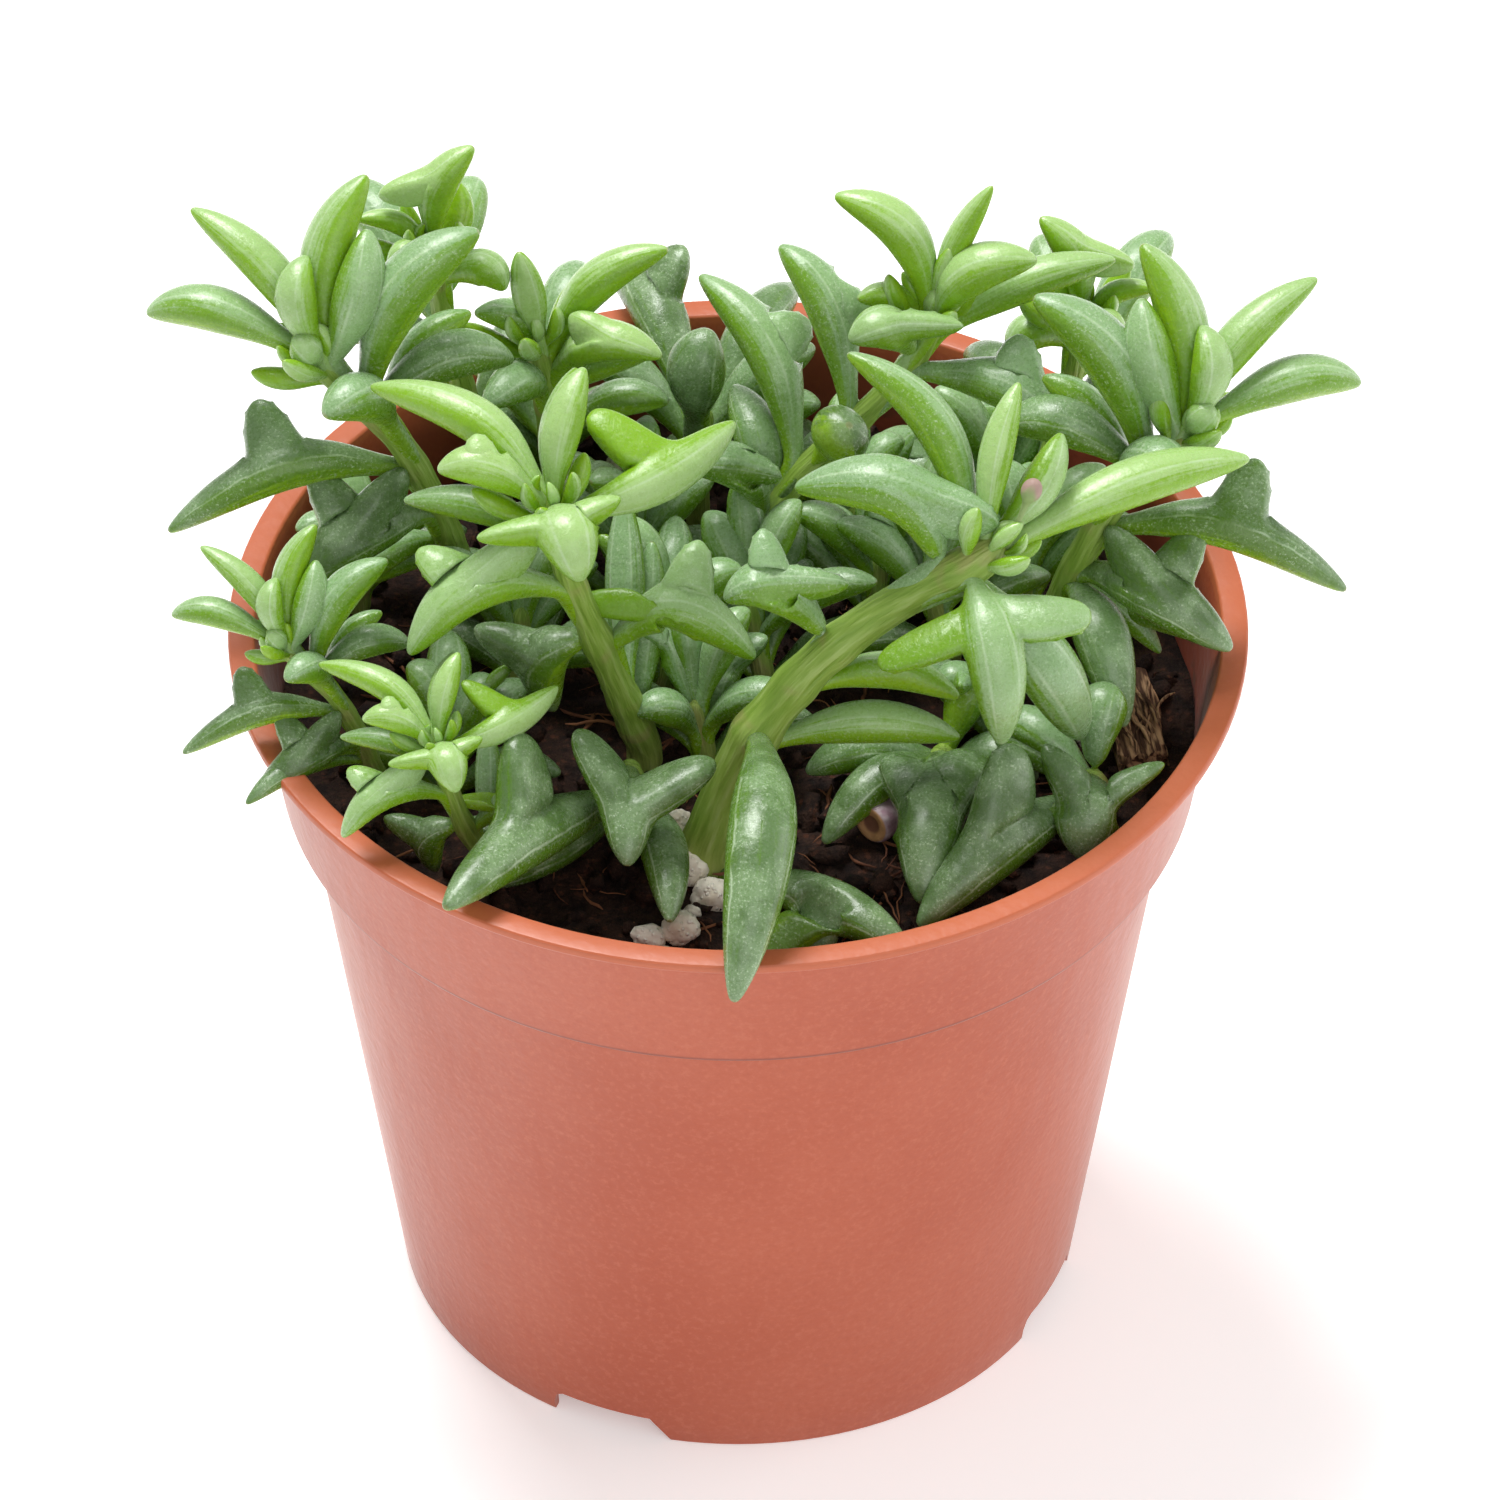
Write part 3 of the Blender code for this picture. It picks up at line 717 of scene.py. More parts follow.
def cut_stubs():
    bm = bmesh.new()
    face = bm.verts.layers.float_vector.new("stub_place")
    for x, y, lift, way, length, size in STUBS:
        way = Vector(way).normalized()
        side = way.cross(Vector((0, 0, 1))).normalized()
        up = side.cross(way)
        middle = Vector((x * MM, y * MM, SOIL_TOP + lift * MM))
        rings = []
        for share, width in STUB_RINGS:
            radius = STUB_RADIUS * size * width
            centre = middle + way * length * share * MM
            rings.append(ring_matrix(centre, side, up, way, radius, radius * 0.94))

        def mark(vertex, _, index):
            vertex[face] = (float(index >= STUB_FACE), float(index >= STUB_PITH), 0)

        extruded(bm, rings, STUB_SIDES, mark)
    return bm


def old_stem():
    finish = Finish("old_stem_skin", Specular_IOR_Level=0.35)
    cut, pith, _ = finish.parts(finish.attribute("stub_place"))
    wrinkles = finish.cloud(700.0, 4.0)
    colour = finish.mix(finish.rise(wrinkles, 0.35, 0.65), MAUVE, MAUVE_PALE)
    colour = finish.mix(finish.rise(cut, 0.3, 0.9), colour, CUT_TAN)
    colour = finish.mix(finish.rise(pith, 0.2, 0.8), colour, CUT_PITH)
    return finish.paint(colour, 0.6 + wrinkles * 0.2, wrinkles, 0.3 * MM)


add_piece("cut_stubs", cut_stubs(), old_stem(), ["cut_stem"], 2)


# Shoots ----------------------------------------------------------------------------------------
# Each shoot is a fleshy stem with plump leaves that spiral round it. Heights count from the rim,
# and lengths are in millimetres. A shoot holds its stem's points from the soil up, its radius at
# the soil, and its leaves. A leaf row holds its place on the stem, its reach from there to its
# point, the bow of its middle, its width, its age from 0 to 1, the reach of each fin, and the
# fins' place on the leaf where it isn't the usual one.

UPPER_LEFT = (
    [(-32, 15), (-34, 12, 3), (-37, 8, 16), (-41, 8, 24), (-46, 8, 30), (-50, 9, 35)],
    2.15,
    [
        (0.99, (-19.5, 6, 1), (-1, 1, 3), 6.4, 0.45, []),
        (0.97, (-15, 12, 13), (2, -1, 2), 5.6, 0.25, []),
        (0.98, (-1, 4, 12), (-2, -2, 2), 5.4, 0.3, []),
        (0.95, (5, 11, 20), (-3, 0, 1), 7.2, 0.3, []),
        (0.95, (5, 6, 16), (1, -2, 1), 6.4, 0.5, []),
        (0.84, (14, 6, 21), (-3, 0, 3), 8.2, 0.6, []),
        (0.97, (-3, -2, 5), (0, -1, 1), 4.2, 0.35, []),
        (0.76, (-7, -9, 9), (1, 1, 3), 7.0, 0.7, []),
        (0.97, (-6, 9, 9), (0, 0, 1), 3.2, 0.2, []),
        (0.64, (-29, -6, -5), (1, 2, 4), 6.6, 0.85, [(-3, 5, 6)]),
        (0.5, (-18, -12, -3), (1, -1, 4), 7.0, 0.95, [(-5, 5, 6), (6, 5, 6)]),
        (0.38, (-14, -5, -7), (1, 1, 3), 4.6, 0.7, []),
        (0.31, (-20, -6, -4), (1, 1, 2), 4.6, 0.8, []),
        (0.82, (17, 5, 3), (0, 0, 4), 6.8, 0.8, []),
        (0.79, (11, 7, 10), (-1, 1, 1), 5.6, 0.7, []),
    ],
)
CENTRE_LEFT = (
    [(-11, -8), (-16, -13, 8), (-20, -15, 22), (-22, -15, 33)],
    2.3,
    [
        (0.98, (-21, 15, 5), (3, 0, 3), 6.4, 0.1, []),
        (0.93, (21, 14, 3), (1, -3, 1), 6.0, 0.1, [(-9, 5, 5), (-6, -1, -2)]),
        (0.73, (-19, -10, -2), (-1, 0, 6), 6.8, 0.35, [(8, 4, 5), (-6, 3, 3)]),
        (0.51, (18, -2, 0), (-1, 1, 6), 7.0, 0.4, [(2, 5, 6), (-12, 1, 0)]),
        (0.98, (-13, 0, 5), (0, 0, 3), 5.6, 0.05, [(-1, 2, 3)]),
        (0.98, (4, 9, 13), (-1, -1, 1), 5.2, 0.1, []),
        (0.98, (3, 16, 7), (-1, 0, 0), 4.8, 0.3, []),
        (0.97, (3.5, -11, -2), (0, -1, 3), 7.2, 0.2, [(-10, -1, -1), (6.5, 2, 2.5)], 0.4),
        (0.875, (-18, 7, 0), (1, 0, 2), 5.0, 0.5, []),
        (0.55, (-5, 3, -14), (-3, 0, 3), 7.0, 0.95, [(-8, 2, 3)]),
        (0.2, (2, 12, 18), (0, 0, 0), 5.0, 0.6, []),
        (0.3, (0, 16, 18), (0, 0, 0), 5.0, 0.6, []),
    ],
)
BACK_LEFT = (
    [(-28, 34), (-32, 29, 10), (-35, 26, 28), (-36, 25, 38)],
    1.8,
    [
        (0.98, (5, 3, 13), (-2, 0, 1), 5.4, 0.1, [(-7, -1, -1)]),
        (0.7, (-12, 18, 9), (-1, 1, 4), 6.6, 0.6, []),
        (0.89, (8, -2, 0), (1, 1, 2), 5.6, 0.3, []),
        (0.97, (-9, 0, 5), (1, 1, 1), 3.4, 0.1, []),
        (0.97, (-5, -4, 1), (0, -1, 2), 4.2, 0.1, []),
        (0.96, (3, 5, 7), (1, 1, -1), 4.2, 0.1, []),
        (0.8, (4, 14, 8), (0, 1, 3), 6.0, 0.5, []),
        (0.55, (-14, 4, 4), (0, 1, 4), 6.4, 0.8, [(-2, 3, 5)]),
        (0.45, (10, 16, 2), (0, 0, 4), 6.4, 0.9, []),
    ],
)
BACK_MIDDLE = (
    [(-19, 33), (-22, 29, 4), (-23, 25, 18), (-24, 25, 24)],
    1.9,
    [
        (0.9, (15, 4, 14), (-2, 1, 2), 6.0, 0.15, []),
        (0.84, (14, -6, 8), (-1, 0, 4), 5.6, 0.1, [(-4, 2, 2)]),
        (0.86, (-8, 0, 9), (2, 1, 2), 5.2, 0.5, []),
        (0.97, (-2, 1, 13), (0, 0, 0), 4.2, 0.2, []),
        (0.74, (13, 0, 7), (-1, 1, 1), 5.6, 0.6, []),
        (0.79, (-7, -12, 7), (1, 0, 3), 5.6, 0.6, []),
        (0.55, (14, 0, 5), (0, 1, 2), 5.6, 0.8, []),
        (0.7, (4, 16, 8), (0, 0, 4), 6.4, 0.7, []),
        (0.5, (-10, 14, 2), (0, 0, 3), 6.0, 0.8, []),
    ],
)
BACK_LOW = (
    [(-5, 36), (-5, 36, -4), (-4, 35, 4)],
    1.9,
    [
        (0.8, (-10, 27, 2), (0, 1, 6), 7.0, 0.9, [(4, 2, 6)]),
        (0.6, (12, 22, 8), (0, 0, 5), 6.4, 0.85, []),
        (0.9, (1, -1, 15), (-1, -2, 2), 7.6, 0.85, []),
        (0.7, (-14, 8, 8), (0, 0, 3), 6.0, 0.8, []),
        (0.7, (14, 6, 10), (0, 0, 3), 6.4, 0.8, []),
    ],
)
MIDDLE = (
    [(-4, 16), (0, 12, 0), (6, 16, 8), (13, 17, 16), (20, 19, 24), (24, 21, 32)],
    2.1,
    [
        (0.53, (-12, 16, 17), (3, -1, 3), 6.6, 0.5, [(5, 2, 2)]),
        (0.69, (-9, 12, 17), (2, 0, 3), 6.4, 0.55, [(5, -1, -1)]),
        (0.97, (-12, 4, 15), (3, 0, 3), 6.4, 0.1, []),
        (0.96, (12, -1, 10), (-2, 0, 3), 6.6, 0.2, []),
        (0.93, (22, 5, 7), (-1, 0, 2), 5.6, 0.25, []),
        (0.85, (19, -9, -4), (2, -1, 4), 6.8, 0.7, [(0, 4, 5)]),
        (0.88, (-8, -6, 7), (1, -1, 4), 6.0, 0.35, [(9, 0, 0)]),
        (0.97, (-4, 2, 5), (0, 0, 0), 2.6, 0.1, []),
        (0.96, (-9, -1, 4), (0, 1, 1), 4.2, 0.2, []),
        (0.99, (1, 0, 9), (0, 0, 0), 3.0, 0.1, []),
        (0.99, (6, 3, 16), (-1, 0, 0), 4.0, 0.1, []),
        (0.62, (2, -7, 9), (0, -1, 1), 7.6, 1.0, []),
        (0.45, (-5, 12, 8), (1, -2, 2), 6.2, 0.8, []),
        (0.42, (-11, -2, 10), (3, 0, 3), 6.4, 0.8, [(5, -1, -1)]),
    ],
)
CENTRE_RIGHT = (
    [
        (-4, -26),
        (1, -24, 2),
        (8, -22, 12),
        (15, -20, 18),
        (21, -19, 22),
        (27, -19, 26),
        (31, -18, 29),
    ],
    3.2,
    [
        (0.61, (-13, 0, 7), (0, 0, 5), 6.8, 0.6, [(-1, 4, 5), (9, 0, 0)]),
        (0.87, (-18, 5, 9), (4, 0, 5.6), 8.4, 0.65, [(9.5, -1, -2.5)], 0.4),
        (0.91, (4, -13, -16), (1, -3, 4), 7.2, 0.45, [(-12.5, -2, -5), (12, 1, 0)], 0.32),
        (0.97, (30, 15, 1), (0, 0, 3), 6.4, 0.1, []),
        (0.38, (-3, -40, -7), (2, -2, 9), 8.4, 0.9, []),
        (0.99, (7, 9, 9), (1, -1, 0), 5.4, 0.3, []),
        (0.97, (3, 11, 16), (-1, -1, 1), 4.4, 0.1, []),
        (0.36, (24, 1, -1), (0, 0, 3), 5.8, 0.35, []),
        (0.5, (19, 1, -3), (0, 2, 2), 5.4, 0.35, []),
        (0.93, (-15, 16, 18), (4, 1, 2), 6.4, 0.5, []),
        (0.08, (5, 0, 3), (0, 1, 1), 3.6, 0.2, []),
        (0.05, (24, -20, 4), (1, -1, 3), 6.4, 0.9, [(-10, -5, -6), (-4, -5, -6)]),
        (0.9, (14, 0, -26), (2, -4, 3), 7.8, 0.6, []),
    ],
)
FRONT_LEFT = (
    [(-12, -18), (-12, -19, -8), (-13, -21, -3)],
    1.9,
    [
        (0.6, (-22, -35, 12), (0, -1, 4), 7.4, 0.95, [(-1, 8, 9)]),
        (0.95, (0, -21, 3), (0, -2, 4), 6.4, 0.9, [(-6, 6, 7), (10, 4, 4)]),
        (0.5, (4, -26, 3), (1, 0, 3), 6.0, 0.9, []),
        (0.5, (-18, -15, -1), (0, -2, 3), 8.0, 1.0, []),
        (0.4, (-22, -20, 3), (-1, 0, 3), 5.0, 0.9, [(-7, 1, 1)]),
    ],
)
FRONT_RIGHT = (
    [(42, -19), (42, -20, -8), (41, -22, -4)],
    1.9,
    [
        (0.7, (-21, -22, -2), (0, -1, 4), 7.4, 0.9, [(2, 8, 9)]),
        (0.95, (-1, -11, -3), (0, -1, 3), 8.4, 0.9, [(-5, 5, 6), (9, 4, 4)]),
        (0.6, (-12, 6, 3), (0, 0, 3), 6.4, 0.8, []),
        (0.8, (-12, 9, 2), (0, 0, 3), 5.6, 0.7, []),
        (0.9, (2, 8, 6), (0, 1, 3), 6.4, 0.8, []),
    ],
)
FRONT_MIDDLE = (
    [(24, -12), (24, -12, -11), (24, -14, -7)],
    1.8,
    [
        (0.9, (-2.6, -25.5, -1), (0, 0, 4), 8.6, 1.0, [(-5, 9, 1), (5.5, 9.5, 1)]),
        (0.7, (-16, -1, -1), (0, 0, 3), 6.0, 0.85, []),
        (0.8, (-14, -12, -3), (0, 1, 3), 6.0, 0.95, []),
        (0.6, (11, -4, 1), (0, 0, 3), 6.4, 0.85, []),
        (0.8, (3, 5, 9), (1, 1, 1), 5.6, 0.7, []),
    ],
)
SMALL = 0.655  # the low shoots at the left are two thirds of the size of the ones above them
# Leaves added to two shoots. The last two of each are its lowest, set again to pass over the rim.
RIGHT_EXTRA = [
    (0.45, (6, -18, -8), (0, 0, 4), 7.0, 0.85, []),
    (0.4, (11, -5, -6), (-1, 1, 3), 4.6, 0.7, []),
    (0.33, (19, -9, 1), (-1, 1, 2), 4.6, 0.8, []),
]
LOW_EXTRA = [
    (0.43, (-11, -8, 0), (0, 0, 3), 3.4, 0.8, []),
    (0.37, (-14, -12, 3), (0, 0, 3), 3.4, 0.85, []),
]


def thinned(shoot, *rows):
    """The same shoot without the leaves of these rows."""
    points, radius, leaves = shoot
    return points, radius, [row for index, row in enumerate(leaves) if index not in rows]


def changed(shoot, point_of, reach_of, scale=1.0, extra=()):
    """The same shoot in another place: its points, reaches and widths changed."""
    points, radius, leaves = shoot
    rows = []
    for place, reach, bow, width, age, fins, *fin_place in leaves:
        fins = [reach_of(*fin) for fin in fins]
        row = (place, reach_of(*reach), reach_of(*bow), width * scale, age, fins, *fin_place)
        rows.append(row)
    return [point_of(*point) for point in points], radius * scale, [*rows, *extra]


def right_point(x, y, *z):
    return (3.6 - x, y - 6, *(height - 5.7 for height in z))


def back_right_point(x, y, *z):
    return (4.5 - x, y + 3, *(height - 13.5 for height in z))


def mirrored(x, y, z):
    return (-x, y, z)


def small_point(x, y, *z):
    return (SMALL * x - 20.7, SMALL * y - 24.5, *(SMALL * height - 8.8 for height in z))


def small_reach(x, y, z):
    return (SMALL * x, SMALL * y, SMALL * z)


SHOOTS = {
    "upper_left": UPPER_LEFT,
    "upper_right": changed(
        thinned(UPPER_LEFT, 11, 12), right_point, mirrored, extra=RIGHT_EXTRA
    ),
    "centre_left": CENTRE_LEFT,
    "centre_right": CENTRE_RIGHT,
    "middle": MIDDLE,
    "back_left": BACK_LEFT,
    "back_right": changed(BACK_LEFT, back_right_point, mirrored),
    "back_middle": BACK_MIDDLE,
    "back_low": BACK_LOW,
    "low_outer": changed(
        thinned(UPPER_LEFT, 11, 12), small_point, small_reach, SMALL, LOW_EXTRA
    ),
    "low_inner": changed(CENTRE_LEFT, small_point, small_reach, SMALL),
    "front_left": FRONT_LEFT,
    "front_middle": FRONT_MIDDLE,
    "front_right": FRONT_RIGHT,
}

ROOT_DEPTH = 4 * MM
STEM_SIDES = 12
STEM_LAYERS = ("stem_place", "stem_node")
STEM_TAPER = 0.35  # how much narrower the growing tip is
STEM_RING = 1.1 * MM
KNUCKLE = 0.12  # how far a leaf's node stands out, over the stem's radius
KNUCKLE_LENGTH = 1.6 * MM
STEM_GREEN = (0.29, 0.43, 0.075)
STEM_PALE = (0.45, 0.56, 0.22)
STEM_DARK = (0.19, 0.32, 0.035)
STEM_PINK = (0.4, 0.25, 0.15)


def smooth_curve(points, per_span=6):
    """Points on a smooth curve through the given ones (Catmull-Rom)."""
    padded = [2 * points[0] - points[1], *points, 2 * points[-1] - points[-2]]
    found = []
    for a, b, c, d in zip(padded, padded[1:], padded[2:], padded[3:]):
        for step in range(per_span):
            t = step / per_span
            bend = (2 * a - 5 * b + 4 * c - d) * t * t + (3 * b - a - 3 * c + d) * t**3
            found.append((2 * b + (c - a) * t + bend) / 2)
    return [*found, points[-1]]


def stem_route(points):
    foot = Vector((points[0][0] * MM, points[0][1] * MM, SOIL_TOP - ROOT_DEPTH))
    collar = foot + Vector((0, 0, 1.5 * ROOT_DEPTH))
    above = [Vector((x * MM, y * MM, POT_HEIGHT + z * MM)) for x, y, z in points[1:]]
    return [foot, *smooth_curve([collar, *above])]


def route_length(route):
    return sum((b - a).length for a, b in zip(route, route[1:]))


def along(route, place):
    """Point and direction at a share of the route's length."""
    spans = [(b - a).length for a, b in zip(route, route[1:])]
    left = place * sum(spans)
    for (a, b), span in zip(zip(route, route[1:]), spans):
        if left <= span:
            break
        left -= span
    way = (b - a).normalized()
    return a + way * left, way


def layered(names):
    """An empty bmesh with vertex attributes for a material to read."""
    bm = bmesh.new()
    for name in names:
        bm.verts.layers.float_vector.new(name)
    return bm


def stem_mesh(route, radius, leaves, bm):
    layer, node_layer = (bm.verts.layers.float_vector[name] for name in STEM_LAYERS)
    total = route_length(route)
    count = max(10, int(total / STEM_RING))
    places = [index / count for index in range(count + 1)]
    side = Vector((1, 0, 0))
    rings = []
    shares = []
    for place in places:
        centre, way = along(route, min(place, 0.9999))
        side = (side - way * side.dot(way)).normalized()
        gaps = [abs(place - row[0]) * total / KNUCKLE_LENGTH for row in leaves]
        knuckle = sum(KNUCKLE * math.exp(-gap * gap) for gap in gaps)
        width = radius * MM * (1 - STEM_TAPER * place) * (1 + min(knuckle, 2 * KNUCKLE))
        width *= min(1, 0.35 + 14 * (1 - place))
        rings.append(ring_matrix(centre, side, side.cross(way), way, width, width))
        shares.append(min(knuckle / KNUCKLE, 1.0))

    def mark(vertex, local, index):
        vertex[layer] = (local.x, local.y, places[index] * total / MM)
        vertex[node_layer] = (shares[index], 0, 0)

    extruded(bm, rings, STEM_SIDES, mark)


def stem_skin():
    finish = Finish("stem_skin", Specular_IOR_Level=0.45)
    x, y, run = finish.parts(finish.attribute("stem_place"))
    node, _, _ = finish.parts(finish.attribute("stem_node"))
    streaks = finish.cloud(3.4, 3.0, finish.vector(x, y, run * 0.05))
    colour = finish.mix(finish.rise(streaks, 0.3, 0.66), STEM_DARK, STEM_GREEN)
    colour = finish.mix(finish.rise(streaks, 0.5, 0.8) * 0.5, colour, STEM_PALE)
    blush = finish.rise(finish.cloud(240.0, 2.0), 0.46, 0.66)
    colour = finish.mix(finish.rise(node, 0.5, 1.0) * blush * 0.35, colour, STEM_PINK)
    _, _, height = finish.parts(finish.place)
    low = finish.rise(height, SOIL_TOP + 7 * MM, SOIL_TOP)
    colour = finish.mix(low * 0.22, colour, STEM_PINK)
    return finish.paint(colour, 0.34 + streaks * 0.2, streaks, 0.4 * MM)


LEAF_SIDES = 8
LEAF_LAYERS = ("leaf_place", "leaf_kind")
LEAF_PROFILE = (  # share of the length, half width over the widest
    (0.0, 0.46),
    (0.08, 0.4),
    (0.2, 0.54),
    (0.34, 0.84),
    (0.5, 1.0),
    (0.66, 0.95),
    (0.8, 0.77),
    (0.9, 0.54),
    (0.975, 0.27),
    (1.0, 0.1),
)
LEAF_PLUMPNESS = 0.86  # thickness over width
CAGE = 1.1  # a subdivided cage draws in by this much
# Rings of the ridge that runs from a leaf's base down the stem: how far down in leaf widths, how
# far out over the stem's radius, and width over the leaf's.
KEEL = ((1.5, 0.45, 0.16), (0.75, 0.62, 0.3))
FIN_PLACE = 0.56
FIN_TIP = 0.85  # kept under the value at which a point turns brown
FIN_BASE = 0.5  # half the length of a fin's root, over the leaf's width
# Steps of a fin and of an arm: share of the reach, size over the root's, share of the turn.
FIN_STEPS = ((0.3, 0.9, 0.5), (0.62, 0.74, 0.8), (0.88, 0.47, 1.0), (1.0, 0.18, 1.0))
ARM_STEPS = ((0.3, 0.98, 0.6), (0.6, 0.9, 0.9), (0.88, 0.66, 1.0), (1.0, 0.3, 1.0))
ARM_REACH = 11 * MM  # a fin longer than this is a plump arm
ROSETTE = 9  # tiny leaves at a growing tip
LEAF_CLEARANCE = 0.9 * MM
LEAF_SUNK = 0.55  # where a leaf starts inside its stem, over the stem's radius
KEEL_START = 0.04  # no ridge starts lower than this share of the stem
GOLDEN_ANGLE = 2.39996

LIME = (0.21, 0.41, 0.012)
GREEN = (0.13, 0.28, 0.01)
DEEP = (0.068, 0.15, 0.01)
# Colours of the leaves' upper sides: a waxy bloom, brightened as a painted highlight.
LIME_WAX_HIGHLIGHT = (0.36, 0.54, 0.2)
GREEN_WAX_HIGHLIGHT = (0.25, 0.4, 0.2)
GLASS = (0.085, 0.15, 0.055)
GLASS_PALE = (0.19, 0.29, 0.14)
UNDERSIDE = (0.25, 0.44, 0.01)
FROST = (0.55, 0.68, 0.46)
TIP_BROWN = (0.3, 0.24, 0.1)


def leaf_stations(fins, fin_place, width, length):
    """Places along a leaf, closer together where a fin grows."""
    places = [place for place, _ in LEAF_PROFILE]
    if not fins:
        return places, None
    half = min(0.15, FIN_BASE * width / length)
    root = [fin_place - half, fin_place, fin_place + half]
    clear = [p for p in places if abs(p - fin_place) > half + 0.06]
    places = sorted(clear + root)
    return places, places.index(fin_place)


def profile(place):
    for (low, narrow), (high, wide) in zip(LEAF_PROFILE, LEAF_PROFILE[1:]):
        if place <= high:
            return narrow + (wide - narrow) * (place - low) / (high - low)
    return LEAF_PROFILE[-1][1]


def grow_fin(bm, kind, bands, middle, reach, age, shade):
    """A fin or an arm, extruded from the four side faces that look towards it."""
    lower, upper = ([face for face in band if face.is_valid] for band in bands)
    pairs = []
    for face in lower:
        for other in lower:
            if face != other and set(face.edges) & set(other.edges):
                above = [f for f in upper if set(f.edges) & (set(face.edges) | set(other.edges))]
                if len(above) == 2:
                    pairs.append([face, other, *above])
    if not pairs:
        return
    facing = max(pairs, key=lambda four: sum(face.normal.dot(reach) for face in four))
    looks = sum((face.normal for face in facing), Vector()).normalized()
    turn = looks.rotation_difference(reach)
    turned = Quaternion()
    before = 1.0
    for share, size, swing in ARM_STEPS if reach.length > ARM_REACH else FIN_STEPS:
        grown = bmesh.ops.extrude_face_region(bm, geom=facing)
        bmesh.ops.delete(bm, geom=facing, context="FACES_ONLY")
        facing = [item for item in grown["geom"] if isinstance(item, bmesh.types.BMFace)]
        corners = [item for item in grown["geom"] if isinstance(item, bmesh.types.BMVert)]
        centre = sum((corner.co for corner in corners), Vector()) / len(corners)
        wanted = Quaternion().slerp(turn, swing)
        spin = (wanted @ turned.inverted()).to_matrix().to_4x4()
        turned = wanted
        place = Matrix.Translation(middle + reach * share) @ spin
        shrink = place @ Matrix.Scale(size / before, 4) @ Matrix.Translation(-centre)
        before = size
        bmesh.ops.transform(bm, matrix=shrink, verts=corners)
        for corner in corners:
            corner[kind] = (age, share * FIN_TIP, shade)


def grow_leaf(bm, route, radius, row, shade):
    place, reach, bow, width, age, fins, *fin_place = row
    fin_place = fin_place[0] if fin_place else FIN_PLACE
    where, kind = (bm.verts.layers.float_vector[name] for name in LEAF_LAYERS)
    start, way = along(route, place)
    tip = start + Vector(reach) * MM
    bow = Vector(bow) * MM
    half = width * MM / 2 * CAGE
    first = (tip - start).lerp(bow * 4, 0.4).normalized()
    outward = (first - way * first.dot(way)).normalized()
    stem = radius * MM * (1 - STEM_TAPER * place)
    base = start + outward * stem * LEAF_SUNK
    run = (tip - base).normalized()
    places, root = leaf_stations(fins, fin_place, width * MM, (tip - base).length)
    centres = [base.lerp(tip, p) + bow * math.sin(math.pi * p**1.1) for p in places]
    total = route_length(route)
    keel = []
    for back, sunk, share in KEEL:
        foot = place - back * width * MM / total
        if foot > KEEL_START:
            under, _ = along(route, foot)
            keel.append((under + outward * stem * sunk, share))
    guesses = [bow, way * MM, Vector((0, -MM, 0)), Vector((MM, 0, 0))]
    clear = [guess for guess in guesses if guess.length > 0.7 * MM]
    up = next(guess for guess in clear if abs(guess.normalized().dot(run)) < 0.93)
    rings = []
    centres = [centre for centre, _ in keel] + centres
    widths = [share for _, share in keel] + [profile(p) for p in places]
    places = [0.0] * len(keel) + places
    for index, centre in enumerate(centres):
        before = centres[max(index - 1, 0)]
        after = centres[min(index + 1, len(centres) - 1)]
        heading = (after - before).normalized()
        side = heading.cross(up).normalized()
        wide = half * widths[index]
        thick = wide * LEAF_PLUMPNESS
        rings.append(ring_matrix(centre, side, side.cross(heading), heading, wide, thick))

    def mark(vertex, local, index):
        vertex[where] = (local.x, local.y, places[index])
        vertex[kind] = (age, max(0.0, places[index] * 10 - 9), shade)

    bands = extruded(bm, rings, LEAF_SIDES, mark)[len(keel) :]
    if fins:
        middle = base.lerp(tip, fin_place) + bow * math.sin(math.pi * fin_place**1.1)
        for fin in fins:
            grow_fin(bm, kind, bands[root - 1 : root + 1], middle, Vector(fin) * MM, age, shade)


def tucked_in(bm, front, top):
    """Bends the leaves behind a front line and under a height to lie inside the pot's wall."""
    for vertex in bm.verts:
        if vertex.co.z < top and vertex.co.y > front:
            reach = math.hypot(vertex.co.x, vertex.co.y)
            inside = wall_inside(min(vertex.co.z, POT_HEIGHT)) - LEAF_CLEARANCE
            if reach > inside:
                vertex.co.x *= inside / reach
                vertex.co.y *= inside / reach


def rosette_rows(route, scale, dice):
    """Rows for the tiny young leaves that crowd the growing tip."""
    _, way = along(route, 1.0)
    side = way.cross(Vector((0.3, 0.9, 0.2))).normalized()
    rows = []
    for index in range(ROSETTE):
        out = Matrix.Rotation(index * GOLDEN_ANGLE, 3, way) @ side
        lean = math.radians(8 + 5.5 * index)
        length = (3.6 + 0.75 * index) * scale * dice.uniform(0.9, 1.15)
        reach = (way * math.cos(lean) + out * math.sin(lean)) * length
        bow = out * 0.8 * scale
        width = (1.5 + 0.2 * index) * scale
        rows.append((0.985 - 0.008 * index, tuple(reach), tuple(bow), width, 0.0, []))
    return rows


def leaves_mesh(route, radius, leaves, dice):
    bm = layered(LEAF_LAYERS)
    for row in leaves:
        grow_leaf(bm, route, radius, row, dice.random())
    return bm


